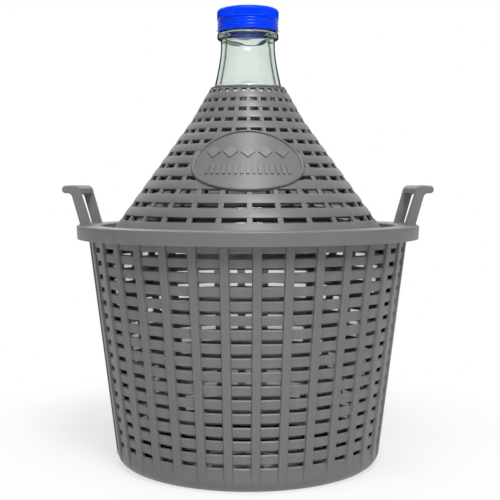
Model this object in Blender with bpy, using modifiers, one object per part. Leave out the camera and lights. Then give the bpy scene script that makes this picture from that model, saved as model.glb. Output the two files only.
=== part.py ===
"""Ten-litre demijohn: a glass bottle in a slotted plastic basket, under a slotted cover, with a screw cap.

Metres, +Z up, the front at -Y, the origin at the middle of the basket's flat underside.
"""

import math

import bmesh
import bpy

# Fits: the space between two pieces that touch, and between one that slides past another.
SEAT_GAP = 0.0003
SLIDE_GAP = 0.0004

# Basket: a tapered tub with a flat floor and rows of slots between upright ribs.
BASKET_WALL_HEIGHT = 0.1940
BASKET_FOOT_RADIUS = 0.1131
BASKET_NECK_RADIUS = 0.1368
BASKET_WALL = 0.0035
BASKET_FLOOR = 0.0035
BASKET_CORNER_RADIUS = 0.0125
BASKET_COLUMNS = 34
BASKET_ROWS = 16
BASKET_RIB_WIDTH = 0.0070
BASKET_SLOT_HEIGHT = 0.0034
BASKET_SKIRT_HEIGHT = 0.0209
BASKET_TOP_BAND = 0.0057
BASKET_RIB_ANGLE = math.radians(3.0)

# Rim on top of the basket's wall: it reaches out over the wall and in to the lip round the cover.
RIM_THICKNESS = 0.0115
RIM_OUTER_REACH = 0.0102
RIM_INNER_REACH = 0.0096
RIM_EDGE_RADIUS = 0.0025
RIM_DRAFT = 0.0004

# Handles: one on each side of the rim, a grip with an outward flange on two leaning legs.
HANDLE_HALF_WIDTH = 0.0370
HANDLE_LEG_WIDTH = 0.0088
HANDLE_LEG_THICKNESS = 0.0084
HANDLE_FOOT_INSET = 0.0042
HANDLE_LEG_LEAN = 0.0095
HANDLE_LEG_HEIGHT = 0.0271
HANDLE_GRIP_THICKNESS = 0.0070
HANDLE_GRIP_REACH = 0.0076
HANDLE_GRIP_ROUND = 0.0022
HANDLE_SINK = 0.0025

# Cover: a slotted cone with a flange that lies inside the rim's lip and a collar round the neck.
COVER_HEIGHT = 0.1227
COVER_WALL = 0.0026
COVER_FLANGE_THICKNESS = 0.0025
COVER_FLANGE_DEPTH = 0.0075
COVER_FLANGE_WIDTH = 0.0103
COVER_KNEE_SPREAD = 0.0161
COVER_KNEE_DROP = 0.0281
COVER_SKIRT_HEIGHT = 0.0119
COLLAR_WALL = 0.0026
COLLAR_HEIGHT = 0.0042
COLLAR_ROUND = 0.0012
COVER_COLUMNS = 28
COVER_ROWS = 12
COVER_FOOT_RIB_WIDTH = 0.0046
COVER_TOP_RIB_WIDTH = 0.0033
COVER_ROW_CROWDING_SHARE = 0.18
COVER_SLOT_SHARE = 0.36
COVER_RIB_ANGLE = math.radians(0.7)

# Oval plate on the front of the cover.
PLATE_HEIGHT_ON_COVER = 0.0585
PLATE_HALF_WIDTH = 0.0440
PLATE_HALF_HEIGHT = 0.0245
PLATE_RISE = 0.0014
PLATE_SINK = 0.0012
PLATE_STRIPS = 16

# Glass bottle.
GLASS_WALL = 0.0025
GLASS_BASE_THICKNESS = 0.0045
GLASS_HEEL_RADIUS = 0.0150
GLASS_PUNT_HEIGHT = 0.0060
GLASS_FOOT_WIDTH = 0.0120
GLASS_FOOT_GAP = 0.0012
GLASS_BODY_GAP = 0.0015
GLASS_SHOULDER_ROUND = 0.0450
NECK_FOOT_RADIUS = 0.0289
NECK_RADIUS = 0.0232
NECK_WALL = 0.0034
NECK_FLARE_HEIGHT = 0.0328
NECK_STRAIGHT_HEIGHT = 0.0070
BEAD_RADIUS = 0.0263
BEAD_HEIGHT = 0.0063
FINISH_RADIUS = 0.0242
FINISH_HEIGHT = 0.0171
MOUTH_ROUND = 0.0010
BOTTLE_STEPS = 32

# Shape of the flare and of the push-up under the base, as shares of their heights and widths.
FLARE_STEPS = 4
FLARE_POWER = 1.7
PUNT_SHOULDER_WIDTH_SHARE = 0.5
PUNT_SHOULDER_HEIGHT_SHARE = 0.7

# Screw cap and the liner inside its top.
CAP_GAP_OVER_BEAD = 0.0012
CAP_WALL = 0.0020
CAP_TOP_THICKNESS = 0.0015
CAP_EDGE_RADIUS = 0.0026
CAP_STEPS = 32
LINER_THICKNESS = 0.0016

# Arcs in turned outlines, the reach of a cut past what it leaves, and the merging of seams.
ARC_STEPS = 5
CUT_OVERRUN = 0.0020
MERGE_DISTANCE = 0.00001

# Colours from the photograph, and how rough each finish is.
GREY_PLASTIC = (0.17, 0.17, 0.17, 1.0)
BLUE_PLASTIC = (0.0, 0.035, 0.83, 1.0)
GREEN_GLASS = (0.72, 0.84, 0.75, 1.0)
LINER_WHITE = (0.80, 0.80, 0.76, 1.0)
GREY_ROUGHNESS = 0.45
BLUE_ROUGHNESS = 0.30
GLASS_ROUGHNESS = 0.03
LINER_ROUGHNESS = 0.60

# Places that follow from the sizes above, bottom to top.
RIM_RADIUS = BASKET_NECK_RADIUS + RIM_OUTER_REACH
LIP_RADIUS = BASKET_NECK_RADIUS - RIM_INNER_REACH
RIM_TOP_HEIGHT = BASKET_WALL_HEIGHT + RIM_THICKNESS
FLANGE_UNDERSIDE_HEIGHT = RIM_TOP_HEIGHT - COVER_FLANGE_DEPTH
FLANGE_TOP_HEIGHT = FLANGE_UNDERSIDE_HEIGHT + COVER_FLANGE_THICKNESS
COVER_TOP_HEIGHT = FLANGE_TOP_HEIGHT + COVER_HEIGHT
COVER_FOOT_RADIUS = LIP_RADIUS - COVER_FLANGE_WIDTH
COLLAR_BORE = NECK_FOOT_RADIUS + SLIDE_GAP
COLLAR_RADIUS = COLLAR_BORE + COLLAR_WALL
COVER_KNEE_RADIUS = COLLAR_RADIUS + COVER_KNEE_SPREAD
COVER_KNEE_HEIGHT = COVER_TOP_HEIGHT - COVER_KNEE_DROP
NECK_HEIGHT = COVER_TOP_HEIGHT + NECK_FLARE_HEIGHT
BEAD_UNDERSIDE_HEIGHT = NECK_HEIGHT + NECK_STRAIGHT_HEIGHT
BEAD_TOP_HEIGHT = BEAD_UNDERSIDE_HEIGHT + BEAD_HEIGHT
MOUTH_HEIGHT = BEAD_TOP_HEIGHT + FINISH_HEIGHT


def clear_scene():
    """Remove every object of the startup scene."""
    for existing in list(bpy.data.objects):
        bpy.data.objects.remove(existing, do_unlink=True)


def new_collection(name):
    """A new collection in the scene."""
    collection = bpy.data.collections.new(name)
    bpy.context.scene.collection.children.link(collection)
    return collection


def plastic(name, colour, roughness):
    """A Principled BSDF for an opaque piece."""
    material = bpy.data.materials.new(name)
    material.use_nodes = True
    shader = material.node_tree.nodes["Principled BSDF"]
    shader.inputs["Base Color"].default_value = colour
    shader.inputs["Roughness"].default_value = roughness
    shader.inputs["Metallic"].default_value = 0.0
    return material


def glass(name, colour, roughness):
    """A Principled BSDF for the clear bottle."""
    material = plastic(name, colour, roughness)
    material.node_tree.nodes["Principled BSDF"].inputs["Transmission Weight"].default_value = 1.0
    return material


def face_outwards(bm):
    """Turn every face of a closed mesh to face out."""
    bm.normal_update()
    bmesh.ops.recalc_face_normals(bm, faces=bm.faces)


def object_from(bm, name, collection):
    """A named object that holds the mesh, shaded smooth with sharp corners kept."""
    mesh = bpy.data.meshes.new(name)
    bm.to_mesh(mesh)
    bm.free()
    mesh.shade_smooth()
    mesh.set_sharp_from_angle(angle=math.radians(30))
    shape = bpy.data.objects.new(name, mesh)
    collection.objects.link(shape)
    return shape


def dress(shape, material):
    """Give the object its one material."""
    shape.data.materials.clear()
    shape.data.materials.append(material)


def as_cutter(shape):
    """Keep a helper solid out of the model."""
    shape.hide_render = True
    shape.display_type = "WIRE"


def joined(target, helper, operation):
    """Join a helper to the target, or cut the target with it."""
    boolean = target.modifiers.new(helper.name, "BOOLEAN")
    boolean.operation = operation
    boolean.solver = "EXACT"
    boolean.object = helper


def arc(centre_radius, centre_height, bend, start, end, steps):
    """Points (radius, height) along an arc, both ends included; angles in degrees from +X."""
    points = []
    for step in range(steps + 1):
        angle = math.radians(start + (end - start) * step / steps)
        points.append((centre_radius + bend * math.cos(angle), centre_height + bend * math.sin(angle)))
    return points


def turned(name, outline, steps, collection):
    """A turned solid: the outline starts and ends on the axis and runs down the outer side."""
    mesh = bpy.data.meshes.new(name)
    edges = [(index, index + 1) for index in range(len(outline) - 1)]
    mesh.from_pydata([(radius, 0.0, height) for radius, height in outline], edges, [])
    shape = bpy.data.objects.new(name, mesh)
    collection.objects.link(shape)
    screw = shape.modifiers.new("Turn", "SCREW")
    screw.axis = "Z"
    screw.steps = steps
    screw.render_steps = steps
    screw.use_merge_vertices = True
    screw.merge_threshold = MERGE_DISTANCE
    screw.use_smooth_shade = True
    return shape


def slotted_turn(name, rings, slots, columns, rib_angle, collection):
    """A turned shell with rows of slots between upright ribs.

    rings holds (radius, height, half rib angle) round the wall's section, and slots pairs each
    slotted ring on the outer side with its ring on the inner side.
    """
    bm = bmesh.new()
    across = 2 * columns
    along = len(rings) - 1
    bmesh.ops.create_grid(bm, x_segments=across, y_segments=along, size=1)
    places = {}
    for face in bm.faces:
        middle = face.calc_center_median()
        places[face] = (int((middle.x + 1) / 2 * across), int((middle.y + 1) / 2 * along))
    for vert in bm.verts:
        column = round((vert.co.x + 1) / 2 * across)
        radius, height, half_rib = rings[round((vert.co.y + 1) / 2 * along)]
        side = -half_rib if column % 2 == 0 else half_rib
        angle = rib_angle + math.tau * (column // 2) / columns + side
        vert.co = (radius * math.sin(angle), -radius * math.cos(angle), height)
    found = {place: face for face, place in places.items()}
    open_faces = []
    pairs = []
    for outer, inner in slots:
        for column in range(columns):
            pair = (found[(2 * column + 1, outer)], found[(2 * column + 1, inner)])
            pairs.append([edge for face in pair for edge in face.edges])
            open_faces.extend(pair)
    bmesh.ops.delete(bm, geom=open_faces, context="FACES_ONLY")
    for edges in pairs:
        bmesh.ops.bridge_loops(bm, edges=edges)
    bmesh.ops.remove_doubles(bm, verts=bm.verts, dist=MERGE_DISTANCE)
    holes = [edge for edge in bm.edges if edge.is_boundary]
    if holes:
        bmesh.ops.holes_fill(bm, edges=holes, sides=across)
    face_outwards(bm)
    return object_from(bm, name, collection)


def basket_wall_radius(height):
    """Outer radius of the basket's wall at a height."""
    slope = (BASKET_NECK_RADIUS - BASKET_FOOT_RADIUS) / BASKET_WALL_HEIGHT
    return BASKET_FOOT_RADIUS + slope * height


def with_ribs(points, rib_width):
    """Rings from (radius, height) points, with a rib of one width round the shell."""
    return [(radius, height, rib_width / (2 * radius)) for radius, height in points]


def basket_rings():
    """Section of the basket from the underside, up the outer wall, over the rim and down inside."""
    corner_height = BASKET_CORNER_RADIUS
    corner_radius = basket_wall_radius(corner_height)
    corner = arc(corner_radius - BASKET_CORNER_RADIUS, corner_height, BASKET_CORNER_RADIUS, -90, 0, 2)
    last_row = BASKET_WALL_HEIGHT - BASKET_TOP_BAND - BASKET_SLOT_HEIGHT
    pitch = (last_row - BASKET_SKIRT_HEIGHT) / (BASKET_ROWS - 1)
    levels = []
    for row in range(BASKET_ROWS):
        lower_edge = BASKET_SKIRT_HEIGHT + row * pitch
        levels += [lower_edge, lower_edge + BASKET_SLOT_HEIGHT]
    outer = [(basket_wall_radius(level), level) for level in levels]
    inner = [(basket_wall_radius(level) - BASKET_WALL, level) for level in reversed(levels)]
    rim = [
        (BASKET_NECK_RADIUS, BASKET_WALL_HEIGHT),
        (RIM_RADIUS - RIM_DRAFT, BASKET_WALL_HEIGHT),
        (RIM_RADIUS, RIM_TOP_HEIGHT - RIM_EDGE_RADIUS),
        (RIM_RADIUS - RIM_EDGE_RADIUS, RIM_TOP_HEIGHT),
        (LIP_RADIUS, RIM_TOP_HEIGHT),
        (LIP_RADIUS, BASKET_WALL_HEIGHT),
        (BASKET_NECK_RADIUS - BASKET_WALL, BASKET_WALL_HEIGHT - BASKET_WALL),
    ]
    floor_corner = [
        (basket_wall_radius(corner_height) - BASKET_WALL, corner_height),
        (corner_radius - BASKET_CORNER_RADIUS, BASKET_FLOOR),
    ]
    rings = with_ribs(corner + outer + rim + inner + floor_corner, BASKET_RIB_WIDTH)
    first_outer = len(corner)
    last_inner = len(corner) + len(outer) + len(rim) + len(inner) - 2
    slots = [(first_outer + 2 * row, last_inner - 2 * row) for row in range(BASKET_ROWS)]
    return rings, slots


def handle(name, side, collection, helpers):
    """One handle as a solid: a grip with an outward flange on two leaning legs."""
    foot = RIM_TOP_HEIGHT - HANDLE_SINK
    under = RIM_TOP_HEIGHT + HANDLE_LEG_HEIGHT
    top = under + HANDLE_GRIP_THICKNESS
    lean = HANDLE_LEG_LEAN / (HANDLE_LEG_HEIGHT + HANDLE_GRIP_THICKNESS)
    foot_reach = LIP_RADIUS + HANDLE_FOOT_INSET
    inner_foot = foot_reach - lean * HANDLE_SINK
    outer_under = foot_reach + HANDLE_LEG_THICKNESS + lean * HANDLE_LEG_HEIGHT
    inner_top = foot_reach + HANDLE_LEG_LEAN
    tip = outer_under + HANDLE_GRIP_REACH
    outline = [
        (inner_foot, foot),
        (inner_foot + HANDLE_LEG_THICKNESS, foot),
        (outer_under, under),
        (tip - HANDLE_GRIP_ROUND, under),
        (tip, under + HANDLE_GRIP_ROUND),
        (tip, top - HANDLE_GRIP_ROUND),
        (tip - HANDLE_GRIP_ROUND, top),
        (inner_top + HANDLE_GRIP_ROUND, top),
        (inner_top - lean * HANDLE_GRIP_ROUND, top - HANDLE_GRIP_ROUND),
    ]
    curve = bpy.data.curves.new(name, "CURVE")
    curve.dimensions = "2D"
    curve.fill_mode = "BOTH"
    curve.extrude = HANDLE_HALF_WIDTH
    spline = curve.splines.new("POLY")
    spline.points.add(len(outline) - 1)
    for point, (reach, height) in zip(spline.points, outline):
        point.co = (reach, height, 0.0, 1.0)
    spline.use_cyclic_u = True
    flat = bpy.data.objects.new(name, curve)
    helpers.objects.link(flat)
    flat.rotation_euler = (math.radians(90), 0.0, 0.0 if side > 0 else math.pi)
    solid = meshed(flat, collection)
    gap_half = HANDLE_HALF_WIDTH - HANDLE_LEG_WIDTH
    gap = box_between(
        name + "_finger_gap",
        (inner_foot - CUT_OVERRUN, -gap_half, foot - CUT_OVERRUN),
        (tip + CUT_OVERRUN, gap_half, under),
        side,
        helpers,
    )
    joined(solid, gap, "DIFFERENCE")
    return solid


def meshed(shape, collection):
    """A mesh object with the shape of a curve, in its place; the curve is removed."""
    bpy.context.view_layer.update()
    graph = bpy.context.evaluated_depsgraph_get()
    mesh = bpy.data.meshes.new_from_object(shape.evaluated_get(graph))
    bm = bmesh.new()
    bm.from_mesh(mesh)
    bmesh.ops.remove_doubles(bm, verts=bm.verts, dist=MERGE_DISTANCE)
    face_outwards(bm)
    bm.to_mesh(mesh)
    bm.free()
    name = shape.name
    place = shape.matrix_world.copy()
    bpy.data.objects.remove(shape, do_unlink=True)
    solid = bpy.data.objects.new(name, mesh)
    solid.matrix_world = place
    collection.objects.link(solid)
    return solid


def box_between(name, low, high, side, collection):
    """A box cutter between two corners on the +X side, or its mirror image on the -X side."""
    bm = bmesh.new()
    bmesh.ops.create_cube(bm, size=1)
    for vert in bm.verts:
        place = [end if value > 0 else start for value, start, end in zip(vert.co, low, high)]
        vert.co = (side * place[0], place[1], place[2])
    face_outwards(bm)
    box = object_from(bm, name, collection)
    as_cutter(box)
    return box


def add_basket(collection, helpers, material):
    """The basket with its floor, slotted wall, rim and two handles, all one moulding."""
    rings, slots = basket_rings()
    basket = slotted_turn("basket", rings, slots, BASKET_COLUMNS, BASKET_RIB_ANGLE, collection)
    for word, side in (("right", 1), ("left", -1)):
        grip = handle(word + "_handle_shape", side, helpers, helpers)
        as_cutter(grip)
        joined(basket, grip, "UNION")
    dress(basket, material)
    return basket


def cover_radius(height):
    """Outer radius of the cover's wall at a height: two straight cones that meet at the knee."""
    if height < COVER_KNEE_HEIGHT:
        share = (height - FLANGE_TOP_HEIGHT) / (COVER_KNEE_HEIGHT - FLANGE_TOP_HEIGHT)
        return COVER_FOOT_RADIUS + (COVER_KNEE_RADIUS - COVER_FOOT_RADIUS) * share
    share = (height - COVER_KNEE_HEIGHT) / (COVER_TOP_HEIGHT - COVER_KNEE_HEIGHT)
    return COVER_KNEE_RADIUS + (COLLAR_RADIUS - COVER_KNEE_RADIUS) * share


def cover_slope():
    """Angle of the lower cone's outward normal above the horizontal."""
    run = COVER_FOOT_RADIUS - COVER_KNEE_RADIUS
    return math.atan2(run, COVER_KNEE_HEIGHT - FLANGE_TOP_HEIGHT)


def behind(radius, height, depth):
    """The point that lies a depth under the cover's outer surface, square to the lower cone."""
    return radius - depth * math.cos(cover_slope()), height - depth * math.sin(cover_slope())


def cover_row_height(row):
    """Middle height of a row of slots: the rows crowd together towards the collar."""
    share = row / (COVER_ROWS - 1)
    crowded = share * (1 + COVER_ROW_CROWDING_SHARE) - COVER_ROW_CROWDING_SHARE * share * share
    rows_height = COVER_HEIGHT - COVER_SKIRT_HEIGHT - COLLAR_HEIGHT
    return FLANGE_TOP_HEIGHT + COVER_SKIRT_HEIGHT + rows_height * crowded


def cover_levels():
    """Heights of the lower and upper edge of each row of slots, bottom to top."""
    levels = []
    for row in range(COVER_ROWS):
        middle = cover_row_height(row)
        pitch = abs(cover_row_height(row + 1) - middle)
        half = pitch * COVER_SLOT_SHARE / 2
        levels += [middle - half, middle + half]
    return levels


def cover_rib_half_angle(height):
    """Half the angle of a rib at a height: ribs narrow towards the collar."""
    share = (height - FLANGE_TOP_HEIGHT) / (COVER_TOP_HEIGHT - FLANGE_TOP_HEIGHT)
    width = COVER_FOOT_RIB_WIDTH + (COVER_TOP_RIB_WIDTH - COVER_FOOT_RIB_WIDTH) * share
    return width / (2 * cover_radius(height))


def cover_rings():
    """Section of the cover from the flange, up the outer wall, over the collar and down inside."""
    foot_half = cover_rib_half_angle(FLANGE_TOP_HEIGHT)
    top_half = cover_rib_half_angle(COVER_TOP_HEIGHT)
    lip_rib_half_angle = BASKET_RIB_WIDTH / (2 * LIP_RADIUS)
    flange_radius = LIP_RADIUS * flat_share(BASKET_COLUMNS, lip_rib_half_angle) - SLIDE_GAP
    levels = cover_levels()
    flange = [
        (flange_radius, FLANGE_UNDERSIDE_HEIGHT, foot_half),
        (flange_radius, FLANGE_TOP_HEIGHT, foot_half),
        (COVER_FOOT_RADIUS, FLANGE_TOP_HEIGHT, foot_half),
    ]
    outer = [(cover_radius(level), level, cover_rib_half_angle(level)) for level in levels]
    collar = [
        (COLLAR_RADIUS, COVER_TOP_HEIGHT - COLLAR_ROUND, top_half),
        (COLLAR_RADIUS - COLLAR_ROUND, COVER_TOP_HEIGHT, top_half),
        (COLLAR_BORE, COVER_TOP_HEIGHT, top_half),
    ]
    inner = []
    for level in reversed(levels):
        radius, height = behind(cover_radius(level), level, COVER_WALL)
        inner.append((radius, height, cover_rib_half_angle(level)))
    foot_radius, foot_height = behind(COVER_FOOT_RADIUS, FLANGE_TOP_HEIGHT, COVER_WALL)
    drop = foot_height - FLANGE_UNDERSIDE_HEIGHT
    foot = [(foot_radius + drop * math.tan(cover_slope()), FLANGE_UNDERSIDE_HEIGHT, foot_half)]
    closing = [flange[0]]
    rings = flange + outer + collar + inner + foot + closing
    last_inner = len(flange) + len(outer) + len(collar) + len(inner) - 2
    slots = [(len(flange) + 2 * row, last_inner - 2 * row) for row in range(COVER_ROWS)]
    return rings, slots


def plate_point(across_share, along_share, rise):
    """A point of the oval plate, which bends round the cone: shares run from -1 to 1 on its box."""
    middle = FLANGE_TOP_HEIGHT + PLATE_HEIGHT_ON_COVER
    height = middle + PLATE_HALF_HEIGHT * along_share
    angle = across_share * math.asin(PLATE_HALF_WIDTH / cover_radius(middle))
    radius = cover_radius(height) + rise * math.cos(cover_slope())
    lifted = height + rise * math.sin(cover_slope())
    return radius * math.sin(angle), -radius * math.cos(angle), lifted


def plate_shape(helpers):
    """The oval plate as a curved slab, part in the cover's wall and part proud of it."""
    bm = bmesh.new()
    bmesh.ops.create_grid(bm, x_segments=PLATE_STRIPS, y_segments=1, size=1)
    for vert in bm.verts:
        turn = math.pi * (vert.co.x + 1) / 2
        across = -math.cos(turn)
        along = math.copysign(math.sin(turn), vert.co.y)
        vert.co = (across, along, 0.0)
    bmesh.ops.remove_doubles(bm, verts=bm.verts, dist=MERGE_DISTANCE)
    sheet = bm.faces[:]
    lifted = bmesh.ops.extrude_face_region(bm, geom=sheet)
    raised = {item for item in lifted["geom"] if isinstance(item, bmesh.types.BMVert)}
    for vert in bm.verts:
        rise = PLATE_RISE if vert in raised else -PLATE_SINK
        vert.co = plate_point(vert.co.x, vert.co.y, rise)
    face_outwards(bm)
    plate = object_from(bm, "oval_plate_shape", helpers)
    as_cutter(plate)
    return plate


def add_cover(collection, helpers, material):
    """The slotted cover with its flange, collar and oval plate, all one moulding."""
    rings, slots = cover_rings()
    cover = slotted_turn("shoulder_cover", rings, slots, COVER_COLUMNS, COVER_RIB_ANGLE, collection)
    joined(cover, plate_shape(helpers), "UNION")
    dress(cover, material)
    return cover


def flat_share(columns, rib_half_angle):
    """How near the axis the flat between two ribs comes, as a share of the radius at its edges."""
    return math.cos(math.pi / columns - rib_half_angle)


def bottle_cone_radius(height):
    """Outer radius of the glass shoulder, a seat gap inside the flats of the cover's lower cone."""
    slope = (COVER_KNEE_RADIUS - COVER_FOOT_RADIUS) / (COVER_KNEE_HEIGHT - FLANGE_TOP_HEIGHT)
    outside = COVER_FOOT_RADIUS + slope * (height - FLANGE_TOP_HEIGHT)
    inside = outside - COVER_WALL / math.cos(cover_slope())
    flats = inside * flat_share(COVER_COLUMNS, cover_rib_half_angle(FLANGE_TOP_HEIGHT))
    return flats - SEAT_GAP / math.cos(cover_slope())


def bottle_outline():
    """Half of the bottle's section: up the inner side, over the mouth and down the outer side."""
    base = BASKET_FLOOR + SEAT_GAP
    heel_height = base + GLASS_HEEL_RADIUS
    heel_radius = basket_wall_radius(heel_height) - BASKET_WALL - GLASS_FOOT_GAP
    body_top = LIP_RADIUS - GLASS_BODY_GAP
    # The shoulder's arc touches the cone and is as wide as the body at its widest point.
    slope = cover_slope()
    centre_radius = body_top - GLASS_SHOULDER_ROUND
    cone_reach = bottle_cone_radius(FLANGE_TOP_HEIGHT) - centre_radius
    centre_height = FLANGE_TOP_HEIGHT + (cone_reach - GLASS_SHOULDER_ROUND / math.cos(slope)) / math.tan(slope)
    turn = math.degrees(slope)
    shoulder = arc(centre_radius, centre_height, GLASS_SHOULDER_ROUND, turn, 0, ARC_STEPS)
    neck = neck_outline()
    heel = arc(heel_radius - GLASS_HEEL_RADIUS, heel_height, GLASS_HEEL_RADIUS, 0, -90, ARC_STEPS)
    foot_inner = heel_radius - GLASS_HEEL_RADIUS - GLASS_FOOT_WIDTH
    punt_width = foot_inner * PUNT_SHOULDER_WIDTH_SHARE
    punt_height = GLASS_PUNT_HEIGHT * PUNT_SHOULDER_HEIGHT_SHARE
    underside = [(foot_inner, base), (punt_width, base + punt_height), (0.0, base + GLASS_PUNT_HEIGHT)]
    floor = base + GLASS_BASE_THICKNESS
    inner_floor = [(0.0, floor + GLASS_PUNT_HEIGHT), (punt_width, floor + punt_height), (foot_inner, floor)]
    inner = inner_floor + bottle_inner_outline(shoulder, heel_radius, floor)
    return inner + neck + shoulder + heel + underside


def neck_outline():
    """Outer side of the neck from the mouth down to the cone: finish, bead ring and flare."""
    mouth = [(FINISH_RADIUS - MOUTH_ROUND, MOUTH_HEIGHT), (FINISH_RADIUS, MOUTH_HEIGHT - MOUTH_ROUND)]
    bead = [
        (FINISH_RADIUS, BEAD_TOP_HEIGHT),
        (BEAD_RADIUS, BEAD_TOP_HEIGHT - BEAD_HEIGHT / 4),
        (BEAD_RADIUS, BEAD_UNDERSIDE_HEIGHT + BEAD_HEIGHT / 4),
        (NECK_RADIUS, BEAD_UNDERSIDE_HEIGHT),
    ]
    flare = []
    for step in range(FLARE_STEPS + 1):
        share = step / FLARE_STEPS
        widening = (NECK_FOOT_RADIUS - NECK_RADIUS) * share ** FLARE_POWER
        flare.append((NECK_RADIUS + widening, NECK_HEIGHT - NECK_FLARE_HEIGHT * share))
    return mouth + bead + flare + [(bottle_cone_radius(COVER_KNEE_HEIGHT), COVER_KNEE_HEIGHT)]


def bottle_inner_outline(shoulder, heel_radius, floor):
    """Inner side of the bottle from the heel up to the mouth."""
    bore = NECK_RADIUS - NECK_WALL
    heel_bend = GLASS_HEEL_RADIUS - GLASS_WALL
    inner = arc(heel_radius - GLASS_HEEL_RADIUS, floor + heel_bend, heel_bend, -90, 0, ARC_STEPS)
    cone_angle = cover_slope()
    for step, (radius, height) in enumerate(reversed(shoulder)):
        angle = cone_angle * step / (len(shoulder) - 1)
        inner.append((radius - GLASS_WALL * math.cos(angle), height - GLASS_WALL * math.sin(angle)))
    knee_radius = bottle_cone_radius(COVER_KNEE_HEIGHT) - GLASS_WALL / math.cos(cone_angle)
    inner.append((knee_radius, COVER_KNEE_HEIGHT))
    inner.append((NECK_FOOT_RADIUS - NECK_WALL, COVER_TOP_HEIGHT))
    inner.append((bore, NECK_HEIGHT))
    inner.append((bore, MOUTH_HEIGHT))
    return inner


def add_bottle(collection, material):
    """The glass bottle: one turned body, hollow and open at the mouth."""
    bottle = turned("glass_bottle", bottle_outline(), BOTTLE_STEPS, collection)
    dress(bottle, material)
    return bottle


def add_cap(collection, material):
    """The screw cap, a round lid whose skirt ends above the bead ring."""
    bore = FINISH_RADIUS + SEAT_GAP
    radius = bore + CAP_WALL
    rim = BEAD_TOP_HEIGHT + CAP_GAP_OVER_BEAD
    ceiling = MOUTH_HEIGHT + LINER_THICKNESS + 2 * SEAT_GAP
    top = ceiling + CAP_TOP_THICKNESS
    edge = arc(radius - CAP_EDGE_RADIUS, top - CAP_EDGE_RADIUS, CAP_EDGE_RADIUS, 90, 0, ARC_STEPS - 2)
    outline = [(0.0, top)] + edge + [(radius, rim), (bore, rim), (bore, ceiling), (0.0, ceiling)]
    cap = turned("screw_cap", outline, CAP_STEPS, collection)
    dress(cap, material)
    return cap


def add_liner(collection, material):
    """The sealing disc between the mouth of the bottle and the top of the cap."""
    underside = MOUTH_HEIGHT + SEAT_GAP
    top = underside + LINER_THICKNESS
    outline = [(0.0, top), (FINISH_RADIUS, top), (FINISH_RADIUS, underside), (0.0, underside)]
    liner = turned("cap_liner", outline, CAP_STEPS, collection)
    dress(liner, material)
    return liner


def main():
    """Build the whole demijohn."""
    clear_scene()
    parts = new_collection("demijohn")
    helpers = new_collection("cutters")
    add_basket(parts, helpers, plastic("basket_plastic", GREY_PLASTIC, GREY_ROUGHNESS))
    add_cover(parts, helpers, plastic("cover_plastic", GREY_PLASTIC, GREY_ROUGHNESS))
    add_bottle(parts, glass("green_glass", GREEN_GLASS, GLASS_ROUGHNESS))
    add_cap(parts, plastic("blue_plastic", BLUE_PLASTIC, BLUE_ROUGHNESS))
    add_liner(parts, plastic("liner_foam", LINER_WHITE, LINER_ROUGHNESS))


main()
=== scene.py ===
"""Ten-litre demijohn, dressed: glass bottle, slotted plastic basket and cover, screw cap.

Metres, +Z up, the front at -Y. Each class is one sub-assembly: its sizes are its fields, and its
methods build the meshes and give them their finish. Angles run from the front towards +X.
"""

import logging
import math
from dataclasses import dataclass
from enum import Enum
from typing import Callable, Sequence

import bmesh
import bpy
from mathutils import Matrix, Vector


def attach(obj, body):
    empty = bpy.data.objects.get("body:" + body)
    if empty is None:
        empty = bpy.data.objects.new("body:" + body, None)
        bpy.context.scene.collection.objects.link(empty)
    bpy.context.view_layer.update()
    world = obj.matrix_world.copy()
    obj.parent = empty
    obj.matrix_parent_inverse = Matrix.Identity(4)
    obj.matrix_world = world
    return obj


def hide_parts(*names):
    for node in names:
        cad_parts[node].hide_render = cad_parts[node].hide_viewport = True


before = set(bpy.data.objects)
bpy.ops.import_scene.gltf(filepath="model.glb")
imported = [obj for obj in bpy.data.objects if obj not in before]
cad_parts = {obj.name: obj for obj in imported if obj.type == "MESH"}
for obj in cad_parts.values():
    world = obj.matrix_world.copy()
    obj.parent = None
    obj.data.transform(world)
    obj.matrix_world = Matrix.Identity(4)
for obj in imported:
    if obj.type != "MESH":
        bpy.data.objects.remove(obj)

LOG = logging.getLogger("demijohn")
MERGE_DISTANCE = 0.00001
CUT_TOLERANCE = 0.000001
SAME_PLACE = 0.0001
LOOKS_DOWN = -0.9
LONGEST_CUT = 0.49
NODES_A_ROW = 8
NODE_WIDTH = 220
NODE_HEIGHT = 180
Point = tuple[float, float]
Corner = tuple[float, float, float]
Colour = tuple[float, float, float, float]
Cell = tuple[int, int]
Socket = bpy.types.NodeSocket


class Body(Enum):
    """The bodies of the frame that pieces ride on."""

    BASKET = "basket_body"
    BOTTLE = "bottle_body"
    COVER = "cover_body"
    LINER = "liner_body"
    CAP = "cap_body"


class Slot(Enum):
    """The record's material slots."""

    BASKET = "basket_plastic"
    COVER = "cover_plastic"
    GLASS = "green_glass"
    CAP = "blue_plastic"
    LINER = "liner_foam"


# Outlines and meshes


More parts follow.
